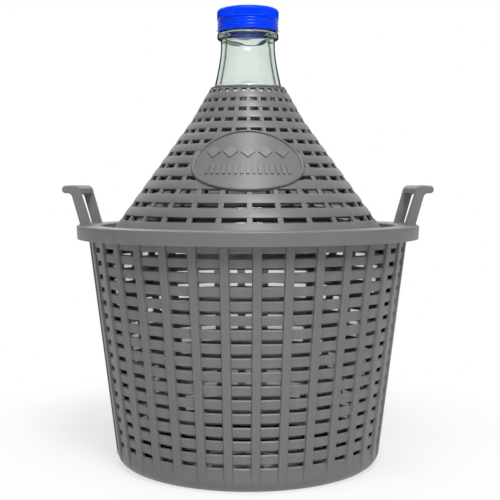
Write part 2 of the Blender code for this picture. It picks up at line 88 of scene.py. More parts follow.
def rounded(corners: Sequence[Corner], steps: int = 4, closed: bool = False) -> list[Point]:
    """An outline of (radius, height) points from corners that are rounded off.

    Args:
        corners: (radius, height, rounding) of each corner.
        steps: points on each rounding, less one.
        closed: whether the outline ends where it starts.

    Returns:
        The outline's points. A closed one repeats its first point at the end.
    """
    points: list[Point] = []
    count = len(corners)
    for number, (radius, height, bend) in enumerate(corners):
        here = Vector((radius, height))
        if bend <= 0 or (not closed and number in (0, count - 1)):
            points.append((radius, height))
            continue
        before = Vector(corners[number - 1][:2]) - here
        after = Vector(corners[(number + 1) % count][:2]) - here
        half = before.angle(after) / 2
        longest = LONGEST_CUT * min(before.length, after.length)
        cut = min(bend / math.tan(half), longest)
        bend = cut * math.tan(half)
        centre = here + (before.normalized() + after.normalized()).normalized() * bend / math.sin(half)
        start = here + before.normalized() * cut - centre
        end = here + after.normalized() * cut - centre
        for step in range(steps + 1):
            share = step / steps
            spoke = start.slerp(end, share).normalized() * bend
            points.append(tuple(centre + spoke))
    if closed:
        points.append(points[0])
    return points


def refined(points: Sequence[Point], longest: float) -> list[Point]:
    """The outline with more points on it.

    Args:
        points: (radius, height) points.
        longest: the longest distance left between two points.

    Returns:
        The finer outline.
    """
    finer = [points[0]]
    for start, end in zip(points, points[1:]):
        pieces = max(1, math.ceil(math.dist(start, end) / longest))
        for piece in range(1, pieces + 1):
            share = piece / pieces
            finer.append(tuple(a + (b - a) * share for a, b in zip(start, end)))
    return finer


def turned_to(radius: float, angle: float, height: float) -> Vector:
    """The place at a radius, an angle from the front and a height."""
    return Vector((radius * math.sin(angle), -radius * math.cos(angle), height))


def smoothstep(value: float, start: float, end: float) -> float:
    """0 before start, 1 after end, and a smooth rise between them."""
    share = min(1.0, max(0.0, (value - start) / (end - start)))
    return share * share * (3 - 2 * share)


class WrappedWall:
    """A grid wrapped once round the Z axis, in which slots can be cut."""

    def __init__(self, columns: int, stations: int, place: Callable[[int, int], Vector]) -> None:
        """Lay the grid.

        Args:
            columns: faces round the axis.
            stations: rings of vertices along the wall's section.
            place: the place of the vertex at a column and a station.
        """
        self.bm = bmesh.new()
        along = stations - 1
        bmesh.ops.create_grid(self.bm, x_segments=columns, y_segments=along, size=1.0)
        self.cells: dict[Cell, bmesh.types.BMFace] = {}
        for face in self.bm.faces:
            middle = face.calc_center_median()
            cell = (int((middle.x + 1) / 2 * columns), int((middle.y + 1) / 2 * along))
            self.cells[cell] = face
        for vert in self.bm.verts:
            column = round((vert.co.x + 1) / 2 * columns)
            vert.co = place(column, round((vert.co.y + 1) / 2 * along))

    def rim(self, cells: Sequence[Cell]) -> list[bmesh.types.BMEdge]:
        """The edges round a patch of cells.

        Args:
            cells: the patch.

        Returns:
            Its outer edges.
        """
        uses: dict[bmesh.types.BMEdge, int] = {}
        for cell in cells:
            for edge in self.cells[cell].edges:
                uses[edge] = uses.get(edge, 0) + 1
        return [edge for edge, count in uses.items() if count == 1]

    def cut_slots(self, slots: Sequence[tuple[Sequence[Cell], Sequence[Cell]]]) -> None:
        """Open slots right through the wall.

        Args:
            slots: the patch of cells outside and the patch inside of each slot.
        """
        rims = [self.rim(outer) + self.rim(inner) for outer, inner in slots]
        gone = [self.cells[cell] for pair in slots for patch in pair for cell in patch]
        bmesh.ops.delete(self.bm, geom=gone, context="FACES")
        for rim in rims:
            bmesh.ops.bridge_loops(self.bm, edges=rim)

    def close(self) -> bmesh.types.BMesh:
        """Merge the seam and the poles, fill open ends and turn the faces outwards.

        Returns:
            The closed mesh.
        """
        bmesh.ops.remove_doubles(self.bm, verts=self.bm.verts, dist=MERGE_DISTANCE)
        open_edges = [edge for edge in self.bm.edges if edge.is_boundary]
        if open_edges:
            bmesh.ops.holes_fill(self.bm, edges=open_edges, sides=0)
        self.bm.normal_update()
        bmesh.ops.recalc_face_normals(self.bm, faces=self.bm.faces)
        return self.bm


def lathe(outline: Sequence[Point], columns: int) -> bmesh.types.BMesh:
    """An outline turned into a closed body.

    Args:
        outline: (radius, height) points, closed or from the axis to the axis.
        columns: faces round the axis.

    Returns:
        The closed mesh.
    """

    def place(column: int, station: int) -> Vector:
        """The outline's point turned to its column."""
        radius, height = outline[station]
        return turned_to(radius, math.tau * column / columns, height)

    return WrappedWall(columns, len(outline), place).close()


def bevelled(
    bm: bmesh.types.BMesh, edges: Sequence[bmesh.types.BMEdge], width: float, segments: int
) -> None:
    """Round off edges.

    Args:
        bm: the mesh.
        edges: the edges to round.
        width: the bevel's width.
        segments: faces across it.
    """
    bmesh.ops.bevel(
        bm, geom=list(edges), offset=width, offset_type="OFFSET", segments=segments,
        profile=0.5, affect="EDGES", material=-1, clamp_overlap=True,
    )


def sharp_edges(bm: bmesh.types.BMesh, degrees: float) -> list[bmesh.types.BMEdge]:
    """The edges where two faces meet at more than an angle."""
    limit = math.radians(degrees)
    return [e for e in bm.edges if len(e.link_faces) == 2 and e.calc_face_angle(0.0) > limit]


def finished(
    name: str, bm: bmesh.types.BMesh, material: bpy.types.Material, body: Body, slot: Slot,
    sharp_degrees: float = 40.0,
) -> bpy.types.Object:
    """An object from a mesh, dressed, shaded and riding on its body.

    Args:
        name: the piece's name.
        bm: its closed mesh, freed here.
        material: its finish.
        body: the body that it rides on.
        slot: the record's material slot. It is not used.
        sharp_degrees: edges that turn more than this stay crisp.

    Returns:
        The piece.
    """
    mesh = bpy.data.meshes.new(name)
    bm.to_mesh(mesh)
    bm.free()
    mesh.shade_smooth()
    mesh.set_sharp_from_angle(angle=math.radians(sharp_degrees))
    mesh.materials.append(material)
    piece = bpy.data.objects.new(name, mesh)
    bpy.context.scene.collection.objects.link(piece)
    weighted = piece.modifiers.new("face_weights", "WEIGHTED_NORMAL")
    weighted.keep_sharp = True
    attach(piece, body.value)
    triangles = sum(len(p.vertices) - 2 for p in mesh.polygons)
    LOG.info("%s rides on %s: %d triangles", name, body.value, triangles)
    return piece


# Node trees


class Graph:
    """A node tree with short calls to add nodes and join them."""

    def __init__(self, tree: bpy.types.NodeTree) -> None:
        """Keep the tree."""
        self.tree = tree

    def add(self, kind: str, values: dict | None = None, **settings: object) -> bpy.types.Node:
        """A new node.

        Args:
            kind: the node's type.
            values: socket name or number to its value, or to the socket that feeds it.
            settings: the node's own properties.

        Returns:
            The node.
        """
        node = self.tree.nodes.new(kind)
        row, column = divmod(len(self.tree.nodes), NODES_A_ROW)
        node.location = (NODE_WIDTH * column, -NODE_HEIGHT * row)
        for key, value in settings.items():
            setattr(node, key, value)
        for key, value in (values or {}).items():
            if isinstance(value, Socket):
                self.tree.links.new(value, node.inputs[key])
            else:
                node.inputs[key].default_value = value
        return node

    def math(self, operation: str, first: object, second: object = 0.0) -> Socket:
        """The result of a Math node on two values or sockets."""
        node = self.add("ShaderNodeMath", {0: first, 1: second}, operation=operation)
        return node.outputs[0]

    def ramp(self, value: object, start: float, end: float, low: float, high: float) -> Socket:
        """A value mapped smoothly from start and end to low and high.

        Args:
            value: the socket to map.
            start: the value that gives low.
            end: the value that gives high.
            low: the lower result.
            high: the upper result.

        Returns:
            The mapped value.
        """
        node = self.add(
            "ShaderNodeMapRange", {0: value, 1: start, 2: end, 3: low, 4: high},
            interpolation_type="SMOOTHSTEP",
        )
        return node.outputs[0]

    def mix(self, factor: object, first: object, second: object, blend: str = "MIX") -> Socket:
        """Two colours mixed.

        Args:
            factor: how much of the second.
            first: a colour or a socket.
            second: a colour or a socket.
            blend: the way of mixing.

        Returns:
            The mixed colour.
        """
        values = {0: factor, 6: first, 7: second}
        node = self.add("ShaderNodeMix", values, data_type="RGBA", blend_type=blend)
        return node.outputs[2]


class Effects:
    """The shared effects, each a node group that is built once.

    Gaps are where noise breaks up an effect: the noise's value that leaves the least of it, the one
    that leaves all of it, and these two shares.
    """

    flow_share: float = 1.6
    # The edge mask lightens convex edges: partly wear, partly a painted highlight where light would
    # catch them.
    wear_and_highlight_start: float = 0.52
    wear_and_highlight_end: float = 0.60
    wear_and_highlight_scale: float = 90.0
    wear_and_highlight_gaps: tuple[float, ...] = (0.35, 0.65, 0.25, 1.0)
    dust_start: float = 0.55
    dust_scale: float = 60.0
    dust_gaps: tuple[float, ...] = (0.4, 0.75, 0.2, 1.0)
    scuff_stretch: Corner = (1.0, 1.0, 0.12)
    scuff_start: float = 0.55
    scuff_end: float = 0.72

    def __init__(self) -> None:
        """Build every group."""
        self.grain = self.build("moulded_grain", ("Scale", "Stretch"), "Height", self.grain_nodes)
        self.tone = self.build("surface_tone", ("Scale", "Depth"), "Tone", self.tone_nodes)
        # Edge wear: partly wear, partly a painted highlight on convex edges.
        self.edges = self.build("edge_wear_and_highlight", ("Amount",), "Mask", self.edge_wear_and_highlight_nodes)
        self.dust = self.build("settled_dust", ("Amount",), "Mask", self.dust_nodes)
        self.scuffs = self.build("fine_scuffs", ("Scale",), "Mask", self.scuff_nodes)

    @staticmethod
    def build(
        name: str, inputs: Sequence[str], output: str, fill: Callable[[Graph, dict], Socket]
    ) -> bpy.types.ShaderNodeTree:
        """A node group with number inputs and one output.

        Args:
            name: the group's name.
            inputs: names of its inputs.
            output: name of its output.
            fill: adds the nodes and returns the socket for the output.

        Returns:
            The group.
        """
        group = bpy.data.node_groups.new(name, "ShaderNodeTree")
        for label in inputs:
            group.interface.new_socket(label, in_out="INPUT", socket_type="NodeSocketFloat")
        group.interface.new_socket(output, in_out="OUTPUT", socket_type="NodeSocketFloat")
        graph = Graph(group)
        entry = graph.add("NodeGroupInput")
        sockets = {label: entry.outputs[label] for label in inputs}
        graph.add("NodeGroupOutput", {output: fill(graph, sockets)})
        return group

    @staticmethod
    def noise(graph: Graph, scale: object, detail: float, stretch: Corner = (1.0, 1.0, 1.0)) -> Socket:
        """A noise over the object's coordinates.

        Args:
            graph: the group's nodes.
            scale: how fine it is, as a number or a socket.
            detail: how many finer layers it has.
            stretch: the scale of the coordinates, through a Mapping node.

        Returns:
            The noise's value.
        """
        texture = graph.add("ShaderNodeTexCoord")
        place = graph.add("ShaderNodeMapping", {"Vector": texture.outputs["Object"], "Scale": stretch})
        values = {"Vector": place.outputs[0], "Scale": scale, "Detail": detail}
        return graph.add("ShaderNodeTexNoise", values).outputs[0]

    def grain_nodes(self, graph: Graph, given: dict) -> Socket:
        """Fine matt grain of a mould's wall over a slow ripple of its flow.

        Args:
            graph: the group's nodes.
            given: the group's inputs.

        Returns:
            The height.
        """
        fine = self.noise(graph, given["Scale"], 3.0)
        flow = self.noise(graph, given["Stretch"], 1.0)
        return graph.math("ADD", fine, graph.math("MULTIPLY", flow, self.flow_share))

    def tone_nodes(self, graph: Graph, given: dict) -> Socket:
        """Slow patches a little lighter and darker than the colour.

        Args:
            graph: the group's nodes.
            given: the group's inputs.

        Returns:
            A factor about 1.
        """
        centred = graph.math("SUBTRACT", self.noise(graph, given["Scale"], 4.0), 0.5)
        return graph.math("ADD", graph.math("MULTIPLY", centred, given["Depth"]), 1.0)

    def edge_wear_and_highlight_nodes(self, graph: Graph, given: dict) -> Socket:
        """Convex edges, broken up by noise: for wear, and for a painted highlight along them.

        Args:
            graph: the group's nodes.
            given: the group's inputs.

        Returns:
            The mask.
        """
        geometry = graph.add("ShaderNodeNewGeometry")
        pointed = geometry.outputs["Pointiness"]
        edge = graph.ramp(pointed, self.wear_and_highlight_start, self.wear_and_highlight_end, 0.0, 1.0)
        broken = graph.ramp(self.noise(graph, self.wear_and_highlight_scale, 3.0), *self.wear_and_highlight_gaps)
        return graph.math("MULTIPLY", graph.math("MULTIPLY", edge, broken), given["Amount"])

    def dust_nodes(self, graph: Graph, given: dict) -> Socket:
        """Dust on faces that look up.

        Args:
            graph: the group's nodes.
            given: the group's inputs.

        Returns:
            The mask.
        """
        geometry = graph.add("ShaderNodeNewGeometry")
        upright = graph.add("ShaderNodeSeparateXYZ", {0: geometry.outputs["Normal"]})
        up = graph.ramp(upright.outputs["Z"], self.dust_start, 1.0, 0.0, 1.0)
        patchy = graph.ramp(self.noise(graph, self.dust_scale, 5.0), *self.dust_gaps)
        return graph.math("MULTIPLY", graph.math("MULTIPLY", up, patchy), given["Amount"])

    def scuff_nodes(self, graph: Graph, given: dict) -> Socket:
        """Thin rubbed streaks along the wall.

        Args:
            graph: the group's nodes.
            given: the group's inputs.

        Returns:
            The mask.
        """
        streaks = self.noise(graph, given["Scale"], 6.0, self.scuff_stretch)
        return graph.ramp(streaks, self.scuff_start, self.scuff_end, 0.0, 1.0)


@dataclass(frozen=True)
class MouldedPlastic:
    """An opaque moulded plastic: its colour, gloss and the strength of its effects."""

    name: str
    colour: Colour
    # The lighter colour of convex edges: partly wear, partly a painted highlight.
    wear_and_highlight_colour: Colour
    dust_colour: Colour
    roughness: float
    grain_scale: float
    grain_depth: float
    tone_depth: float
    wear_and_highlight_amount: float
    dust: float
    tone_scale: float = 14.0
    scuff_scale: float = 240.0
    flow_ratio: float = 14.0
    grain_height: float = 0.0002
    ior: float = 1.49
    scuff_roughness: float = 0.12
    # A glow in the plastic's own colour: painted light, for a part that is no lamp.
    glow: float = 0.0
    specular: float = 0.5

    def material(self, effects: Effects) -> bpy.types.Material:
        """The material.

        Args:
            effects: the shared node groups.

        Returns:
            A Principled material that reads object coordinates.
        """
        material = bpy.data.materials.new(self.name)
        material.use_nodes = True
        graph = Graph(material.node_tree)
        shader = material.node_tree.nodes["Principled BSDF"]
        shader.inputs["Metallic"].default_value = 0.0
        shader.inputs["IOR"].default_value = self.ior
        shader.inputs["Specular IOR Level"].default_value = self.specular
        # Emission in the plastic's colour is painted light: it makes the part glow.
        shader.inputs["Emission Color"].default_value = self.colour
        shader.inputs["Emission Strength"].default_value = self.glow
        tone = graph.add("ShaderNodeGroup", node_tree=effects.tone)
        tone.inputs["Scale"].default_value = self.tone_scale
        tone.inputs["Depth"].default_value = self.tone_depth
        wear_and_highlight = graph.add("ShaderNodeGroup", node_tree=effects.edges)
        wear_and_highlight.inputs["Amount"].default_value = self.wear_and_highlight_amount
        dusty = graph.add("ShaderNodeGroup", node_tree=effects.dust)
        dusty.inputs["Amount"].default_value = self.dust
        scuffs = graph.add("ShaderNodeGroup", node_tree=effects.scuffs)
        scuffs.inputs["Scale"].default_value = self.scuff_scale
        grain = graph.add("ShaderNodeGroup", node_tree=effects.grain)
        grain.inputs["Scale"].default_value = self.grain_scale
        grain.inputs["Stretch"].default_value = self.grain_scale / self.flow_ratio
        toned = graph.add(
            "ShaderNodeVectorMath", {0: self.colour[:3], 1: tone.outputs[0]}, operation="MULTIPLY"
        )
        # Convex edges take the lighter edge colour: partly wear, partly a painted highlight.
        edged = graph.mix(wear_and_highlight.outputs[0], toned.outputs[0], self.wear_and_highlight_colour)
        coloured = graph.mix(dusty.outputs[0], edged, self.dust_colour)
        rough = graph.math("MULTIPLY_ADD", scuffs.outputs[0], self.scuff_roughness)
        rough.node.inputs[2].default_value = self.roughness
        bump = graph.add("ShaderNodeBump", {
            "Strength": self.grain_depth, "Distance": self.grain_height, "Height": grain.outputs[0],
        })
        graph.tree.links.new(coloured, shader.inputs["Base Color"])
        graph.tree.links.new(rough, shader.inputs["Roughness"])
        graph.tree.links.new(bump.outputs[0], shader.inputs["Normal"])
        return material


@dataclass(frozen=True)
class BottleGlass:
    """Clear glass with a green cast that deepens with its thickness, and a painted dark shade along its
    silhouettes.
    """

    name: str
    tint: Colour
    depth_colour: Colour
    shade_colour: Colour
    # Colour of a painted dark shade laid over the glass's silhouettes.
    painted_edge_shade_colour: Colour
    density: float
    roughness: float
    ripple_scale: float
    ripple_depth: float
    painted_edge_shade_start: float = 0.63
    painted_edge_shade_end: float = 0.75
    painted_edge_shade_share: float = 0.96
    ior: float = 1.5
    specular: float = 1.0
    ripple_stretch: Corner = (1.0, 1.0, 0.18)
    ripple_detail: float = 1.5
    ripple_height: float = 0.001

    def material(self) -> bpy.types.Material:
        """The material.

        Returns:
            A transmissive Principled material with an absorbing volume.
        """
        material = bpy.data.materials.new(self.name)
        material.use_nodes = True
        graph = Graph(material.node_tree)
        shader = material.node_tree.nodes["Principled BSDF"]
        shader.inputs["Roughness"].default_value = self.roughness
        shader.inputs["Metallic"].default_value = 0.0
        shader.inputs["IOR"].default_value = self.ior
        shader.inputs["Specular IOR Level"].default_value = self.specular
        # Where the glass turns away from view, a dark transparent sheet is mixed in: a painted shade on
        # the silhouettes.
        facing = graph.add("ShaderNodeLayerWeight", {"Blend": 0.5}).outputs["Facing"]
        outline = graph.ramp(facing, self.painted_edge_shade_start, self.painted_edge_shade_end, 0.0, self.painted_edge_shade_share)
        shader.inputs["Base Color"].default_value = self.tint
        shader.inputs["Transmission Weight"].default_value = 1.0
        texture = graph.add("ShaderNodeTexCoord")
        mapping = graph.add(
            "ShaderNodeMapping", {"Vector": texture.outputs["Object"], "Scale": self.ripple_stretch}
        )
        noise = graph.add("ShaderNodeTexNoise", {
            "Vector": mapping.outputs[0], "Scale": self.ripple_scale, "Detail": self.ripple_detail,
        })
        bump = graph.add("ShaderNodeBump", {
            "Strength": self.ripple_depth, "Distance": self.ripple_height, "Height": noise.outputs[0],
        })
        graph.tree.links.new(bump.outputs[0], shader.inputs["Normal"])
        volume = graph.add(
            "ShaderNodeVolumeAbsorption", {"Color": self.depth_colour, "Density": self.density}
        )
        output = material.node_tree.nodes["Material Output"]
        graph.tree.links.new(volume.outputs[0], output.inputs["Volume"])
        rays = graph.add("ShaderNodeLightPath")
        painted_edge_shade = graph.add("ShaderNodeBsdfTransparent", {"Color": self.painted_edge_shade_colour})
        edge_shaded = graph.add("ShaderNodeMixShader", {0: outline, 1: shader.outputs[0], 2: painted_edge_shade.outputs[0]})
        clear = graph.add("ShaderNodeBsdfTransparent", {"Color": self.shade_colour})
        shadow = rays.outputs["Is Shadow Ray"]
        mixed = graph.add("ShaderNodeMixShader", {0: shadow, 1: edge_shaded.outputs[0], 2: clear.outputs[0]})
        graph.tree.links.new(mixed.outputs[0], output.inputs["Surface"])
        return material


# Each plastic's second colour lightens its convex edges: partly wear, partly a painted highlight.
GREY_BASKET = MouldedPlastic(
    "basket_grey_plastic", (0.170, 0.170, 0.171, 1.0), (0.26, 0.26, 0.26, 1.0),
    (0.27, 0.265, 0.255, 1.0), roughness=0.40, grain_scale=1500.0, grain_depth=0.12,
    tone_depth=0.16, wear_and_highlight_amount=0.45, dust=0.10,
)
GREY_COVER = MouldedPlastic(
    "cover_grey_plastic", (0.148, 0.148, 0.149, 1.0), (0.26, 0.26, 0.26, 1.0),
    (0.27, 0.265, 0.255, 1.0), roughness=0.38, grain_scale=1500.0, grain_depth=0.12,
    tone_depth=0.14, wear_and_highlight_amount=0.40, dust=0.06,
)
BLUE_CAP = MouldedPlastic(
    "cap_blue_plastic", (0.0, 0.052, 0.93, 1.0), (0.0, 0.08, 0.95, 1.0),
    (0.03, 0.12, 0.85, 1.0), roughness=0.20, grain_scale=2200.0, grain_depth=0.04,
    tone_depth=0.10, wear_and_highlight_amount=0.20, dust=0.03, scuff_roughness=0.08, specular=0.10,
)
# The liner glows (glow=0.50): painted light that brightens the blue seen in the bottle's mouth.
BLUE_LINER = MouldedPlastic(
    "liner_blue_foam", (0.0, 0.12, 0.90, 1.0), (0.0, 0.14, 0.95, 1.0),
    (0.02, 0.1, 0.8, 1.0), roughness=0.55, grain_scale=3200.0, grain_depth=0.35,
    tone_depth=0.20, wear_and_highlight_amount=0.1, dust=0.0, glow=0.50,
)
# The fourth colour is the painted dark shade on the glass's silhouettes.
GREEN_GLASS = BottleGlass(
    "bottle_green_glass", (0.960, 0.970, 0.960, 1.0), (0.36, 0.64, 0.42, 1.0),
    (0.90, 0.95, 0.91, 1.0), (0.03, 0.075, 0.045, 1.0), density=48.0, roughness=0.0,
    ripple_scale=26.0, ripple_depth=0.10,
)


# Basket


@dataclass
class Basket:
    """The basket: its ribbed and slotted wall, its rim and its two handles.

    Straps are the level bands between the ribs, a little behind them. The basket stands on two rings
    and its heel. Turns are angles in radians past which an edge of a handle is rounded, and steps are
    the faces across a rounding.
    """

    wall_height: float = 0.1940
    foot_radius: float = 0.1131
    neck_radius: float = 0.1368
    wall: float = 0.0035
    floor: float = 0.0035
    corner: float = 0.0125
    columns: int = 34
    rows: int = 16
    rib_width: float = 0.0070
    rib_rise: float = 0.0016
    rib_start: float = 0.0030
    rib_full: float = 0.0195
    rib_fillet: float = 0.0003
    edge_round: float = 0.0004
    lip_round: float = 0.0009
    slot_height: float = 0.0034
    skirt_height: float = 0.0209
    top_band: float = 0.0057
    rib_angle: float = math.radians(3.0)
    wall_top: float = 0.2027
    hub_radius: float = 0.0120
    foot_recess: float = 0.0008
    inner_ring: Point = (0.0300, 0.0356)
    outer_ring: float = 0.0830
    ring_slope: float = 0.0006
    corner_steps: int = 6
    inner_corner_steps: int = 3
    skirt_levels: Point = (0.0150, 0.0175)
    rim_radius: float = 0.1469
    lip_radius: float = 0.1272
    rim_top: float = 0.2055
    rim_plate: float = 0.0027
    rim_draft: float = 0.0004
    rim_edge: float = 0.0025
    rim_wall: float = 0.0027
    rim_foot_round: float = 0.0005
    lip_top_round: float = 0.0014
    lip_draft: float = 0.0002
    lip_foot: float = 0.0012
    lip_foot_round: float = 0.0008
    lip_inner_round: float = 0.0006
    lip_thickness: float = 0.0024
    channel_round: float = 0.0008
    rim_steps: int = 204
    handle_half_width: float = 0.0370
    leg_width: float = 0.0088
    leg_thickness: float = 0.0084
    foot_inset: float = 0.0042
    leg_lean: float = 0.0095
    leg_height: float = 0.0271
    grip_thickness: float = 0.0070
    grip_reach: float = 0.0076
    sink: float = 0.0015
    tip_droop: float = 0.0008
    flare_height: float = 0.0016
    flare_reach: float = 0.0009
    tip_round: float = 0.0030
    back_round: float = 0.0040
    throat_round: float = 0.0032
    crook_round: float = 0.0028
    end_round: float = 0.0022
    inner_round: float = 0.0012
    sharp: float = 50.0
    throat_turn: float = 1.0
    crook_turn: float = 0.5
    broad_steps: int = 5
    narrow_steps: int = 4
    fine_steps: int = 3
    columns_per_rib: int = 10

    def radius_at(self, height: float) -> float:
        """Radius of the ribs' outer faces at a height."""
        return self.foot_radius + (self.neck_radius - self.foot_radius) * height / self.wall_height

    def slot_levels(self) -> list[Point]:
        """The rows of slots.

        Returns:
            The lower and upper edge of each row, bottom to top.
        """
        last_row = self.wall_height - self.top_band - self.slot_height
        pitch = (last_row - self.skirt_height) / (self.rows - 1)
        lows = [self.skirt_height + row * pitch for row in range(self.rows)]
        return [(low, low + self.slot_height) for low in lows]

    def sections(self) -> tuple[list[tuple[float, float, float]], list[int], list[int]]:
        """The wall's section as stations.

        Returns:
            The stations as (rib radius, height, how far the straps lie behind), and the stations
            below each row's slots outside and inside.
        """
        corner_radius = self.radius_at(self.corner)
        flat = corner_radius - self.corner
        recess, slope = self.foot_recess, self.ring_slope
        ring_start, ring_end = self.inner_ring
        stations = [
            (self.hub_radius, recess, 0.0), (ring_start, recess, 0.0),
            (ring_start + slope, 0.0, 0.0), (ring_end - slope, 0.0, 0.0), (ring_end, recess, 0.0),
            (self.outer_ring, recess, 0.0), (self.outer_ring + slope, 0.0, 0.0),
        ]
        for step in range(self.corner_steps + 1):
            turn = math.radians(-90 + 90 * step / self.corner_steps)
            radius = flat + self.corner * math.cos(turn)
            height = self.corner * (1 + math.sin(turn))
            stations.append((radius, height, self.setback(height)))
        for height in self.skirt_levels:
            stations.append((self.radius_at(height), height, self.setback(height)))
        outer: list[int] = []
        edge, lip = self.edge_round, self.lip_round
        for low, high in self.slot_levels():
            full = self.setback(low)
            stations.append((self.radius_at(low - lip), low - lip, full))
            stations.append((self.radius_at(low), low, full + lip))
            outer.append(len(stations) - 1)
            stations.append((self.radius_at(high), high, full + edge))
            stations.append((self.radius_at(high + edge), high + edge, full))
        top = self.wall_top
        stations.append((self.neck_radius, self.wall_height, self.rib_rise))
        stations.append((self.neck_radius, top, self.rib_rise))
        inside = self.wall
        stations.append((self.neck_radius - inside, top, 0.0))
        inner: list[int] = []
        for low, high in reversed(self.slot_levels()):
            stations.append((self.radius_at(high) - inside, high, 0.0))
            inner.append(len(stations) - 1)
            stations.append((self.radius_at(low) - inside, low, 0.0))
        bend = self.corner - self.floor
        for step in range(self.inner_corner_steps + 1):
            turn = math.radians(-90 * step / self.inner_corner_steps)
            radius = flat + bend * math.cos(turn)
            height = self.floor + bend * (1 + math.sin(turn))
            stations.append((radius, height, 0.0))
        stations.append((self.hub_radius, self.floor, 0.0))
        inner.reverse()
        return stations, outer, inner

    def setback(self, height: float) -> float:
        """How far the straps lie behind the ribs at a height."""
        return self.rib_rise * smoothstep(height, self.rib_start, self.rib_full)

    def wall_mesh(self) -> bmesh.types.BMesh:
        """The wall and floor.

        Returns:
            The closed mesh, with its slots.
        """
        stations, outer, inner = self.sections()
        # Four outer stations follow the last row's lower edge: two of its upper edge, two at the top.
        last_outer = outer[-1] + 4
        per_rib = self.columns_per_rib
        edge = self.edge_round

        def place(column: int, station: int) -> Vector:
            """A vertex of the wall: on a rib's face, at its foot or on a strap.

            Args:
                column: its number round the wall. In each rib's ten, 0 to 3 lie on the rib, 4 to 8
                    on the strap and 9 on the next rib's side.
                station: its number along the section.

            Returns:
                Its place.
            """
            rib, kind = divmod(column, per_rib)
            radius, height, behind = stations[station]
            half = self.rib_width / 2 / radius
            foot = (self.rib_width / 2 + self.rib_fillet) / radius
            inside = station > last_outer
            step = math.tau / self.columns
            near = half - edge / radius
            strap = radius - behind
            rounding = min(edge, behind)
            table = {
                0: (-near, radius), 1: (0.0, radius), 2: (near, radius),
                3: (half, radius - rounding), 4: (foot, strap), 8: (step - foot, strap),
                9: (step - half, radius - rounding),
            }
            if kind in table:
                angle, reach = table[kind]
                if inside and kind in (2, 3):
                    angle = foot
                if inside and kind in (0, 9):
                    angle = (0.0 if kind == 0 else step) - foot
            else:
                angle = foot + (step - 2 * foot) * (kind - 4) / 4
                reach = strap
            return turned_to(reach, self.rib_angle + rib * step + angle, height)

        wall = WrappedWall(per_rib * self.columns, len(stations), place)
        slots = []
        for low_outer, low_inner in zip(outer, inner):
            for rib in range(self.columns):
                across = [per_rib * rib + kind for kind in range(4, 8)]
                slots.append(([(c, low_outer) for c in across], [(c, low_inner) for c in across]))
        wall.cut_slots(slots)
        return wall.close()

    def rim_mesh(self) -> bmesh.types.BMesh:
        """The rim: a channel turned over the wall's edge, with a lip round the cover.

        Returns:
            The closed mesh.
        """
        top = self.rim_top
        under = top - self.rim_plate
        foot = self.wall_height
        lip_foot = foot + self.lip_foot
        lip_inner = self.lip_radius + self.lip_thickness
        rim_inner = self.rim_radius - self.rim_wall
        corners = [
            (self.rim_radius - self.rim_draft, foot, self.rim_foot_round),
            (self.rim_radius, top - self.rim_edge, 0.0),
            (self.rim_radius, top, self.rim_edge),
            (self.lip_radius, top, self.lip_top_round),
            (self.lip_radius + self.lip_draft, lip_foot, self.lip_foot_round),
            (lip_inner, lip_foot, self.lip_inner_round),
            (lip_inner + self.rim_draft, under, self.channel_round),
            (rim_inner - self.lip_draft, under, self.channel_round),
            (rim_inner, foot, self.rim_foot_round),
        ]
        return lathe(rounded(corners, closed=True), self.rim_steps)

    @property
    def grip_under(self) -> float:
        """Height of the grip's underside."""
        return self.rim_top + self.leg_height

    @property
    def grip_top(self) -> float:
        """Height of the grip's top."""
        return self.grip_under + self.grip_thickness

    @property
    def lean(self) -> float:
        """How far a leg leans out for each metre up."""
        return self.leg_lean / (self.leg_height + self.grip_thickness)

    @property
    def inner_under(self) -> float:
        """Where the legs' inner faces meet the grip."""
        return self.lip_radius + self.foot_inset + self.lean * self.leg_height

    @property
    def outer_under(self) -> float:
        """Where the legs' outer faces meet the grip."""
        return self.inner_under + self.leg_thickness

    @property
    def inner_top(self) -> float:
        """The grip's inner edge at its top."""
        return self.lip_radius + self.foot_inset + self.leg_lean

    @property
    def tip(self) -> float:
        """The outer edge of the grip's flange."""
        return self.outer_under + self.grip_reach

    @property
    def gap(self) -> float:
        """Half the width of the finger gap."""
        return self.handle_half_width - self.leg_width

    def grip(self) -> bmesh.types.BMesh:
        """The grip, cut where the legs meet it.

        Returns:
            A closed block on the right side.
        """
        bm = bmesh.new()
        bmesh.ops.create_cube(bm, size=1.0)
        for vert in bm.verts:
            high, outward = vert.co.z > 0, vert.co.x > 0
            inner = self.inner_top if high else self.inner_under
            vert.co.x = self.tip if outward else inner
            vert.co.y *= 2 * self.handle_half_width
            vert.co.z = self.grip_top - self.tip_droop * outward if high else self.grip_under
        cuts = ((self.outer_under, (1, 0, 0)), (self.gap, (0, 1, 0)), (-self.gap, (0, 1, 0)))
        for reach, normal in cuts:
            parts = bm.verts[:] + bm.edges[:] + bm.faces[:]
            place = Vector(normal) * reach
            bmesh.ops.bisect_plane(bm, geom=parts, dist=CUT_TOLERANCE, plane_co=place, plane_no=normal)
        bm.normal_update()
        return bm

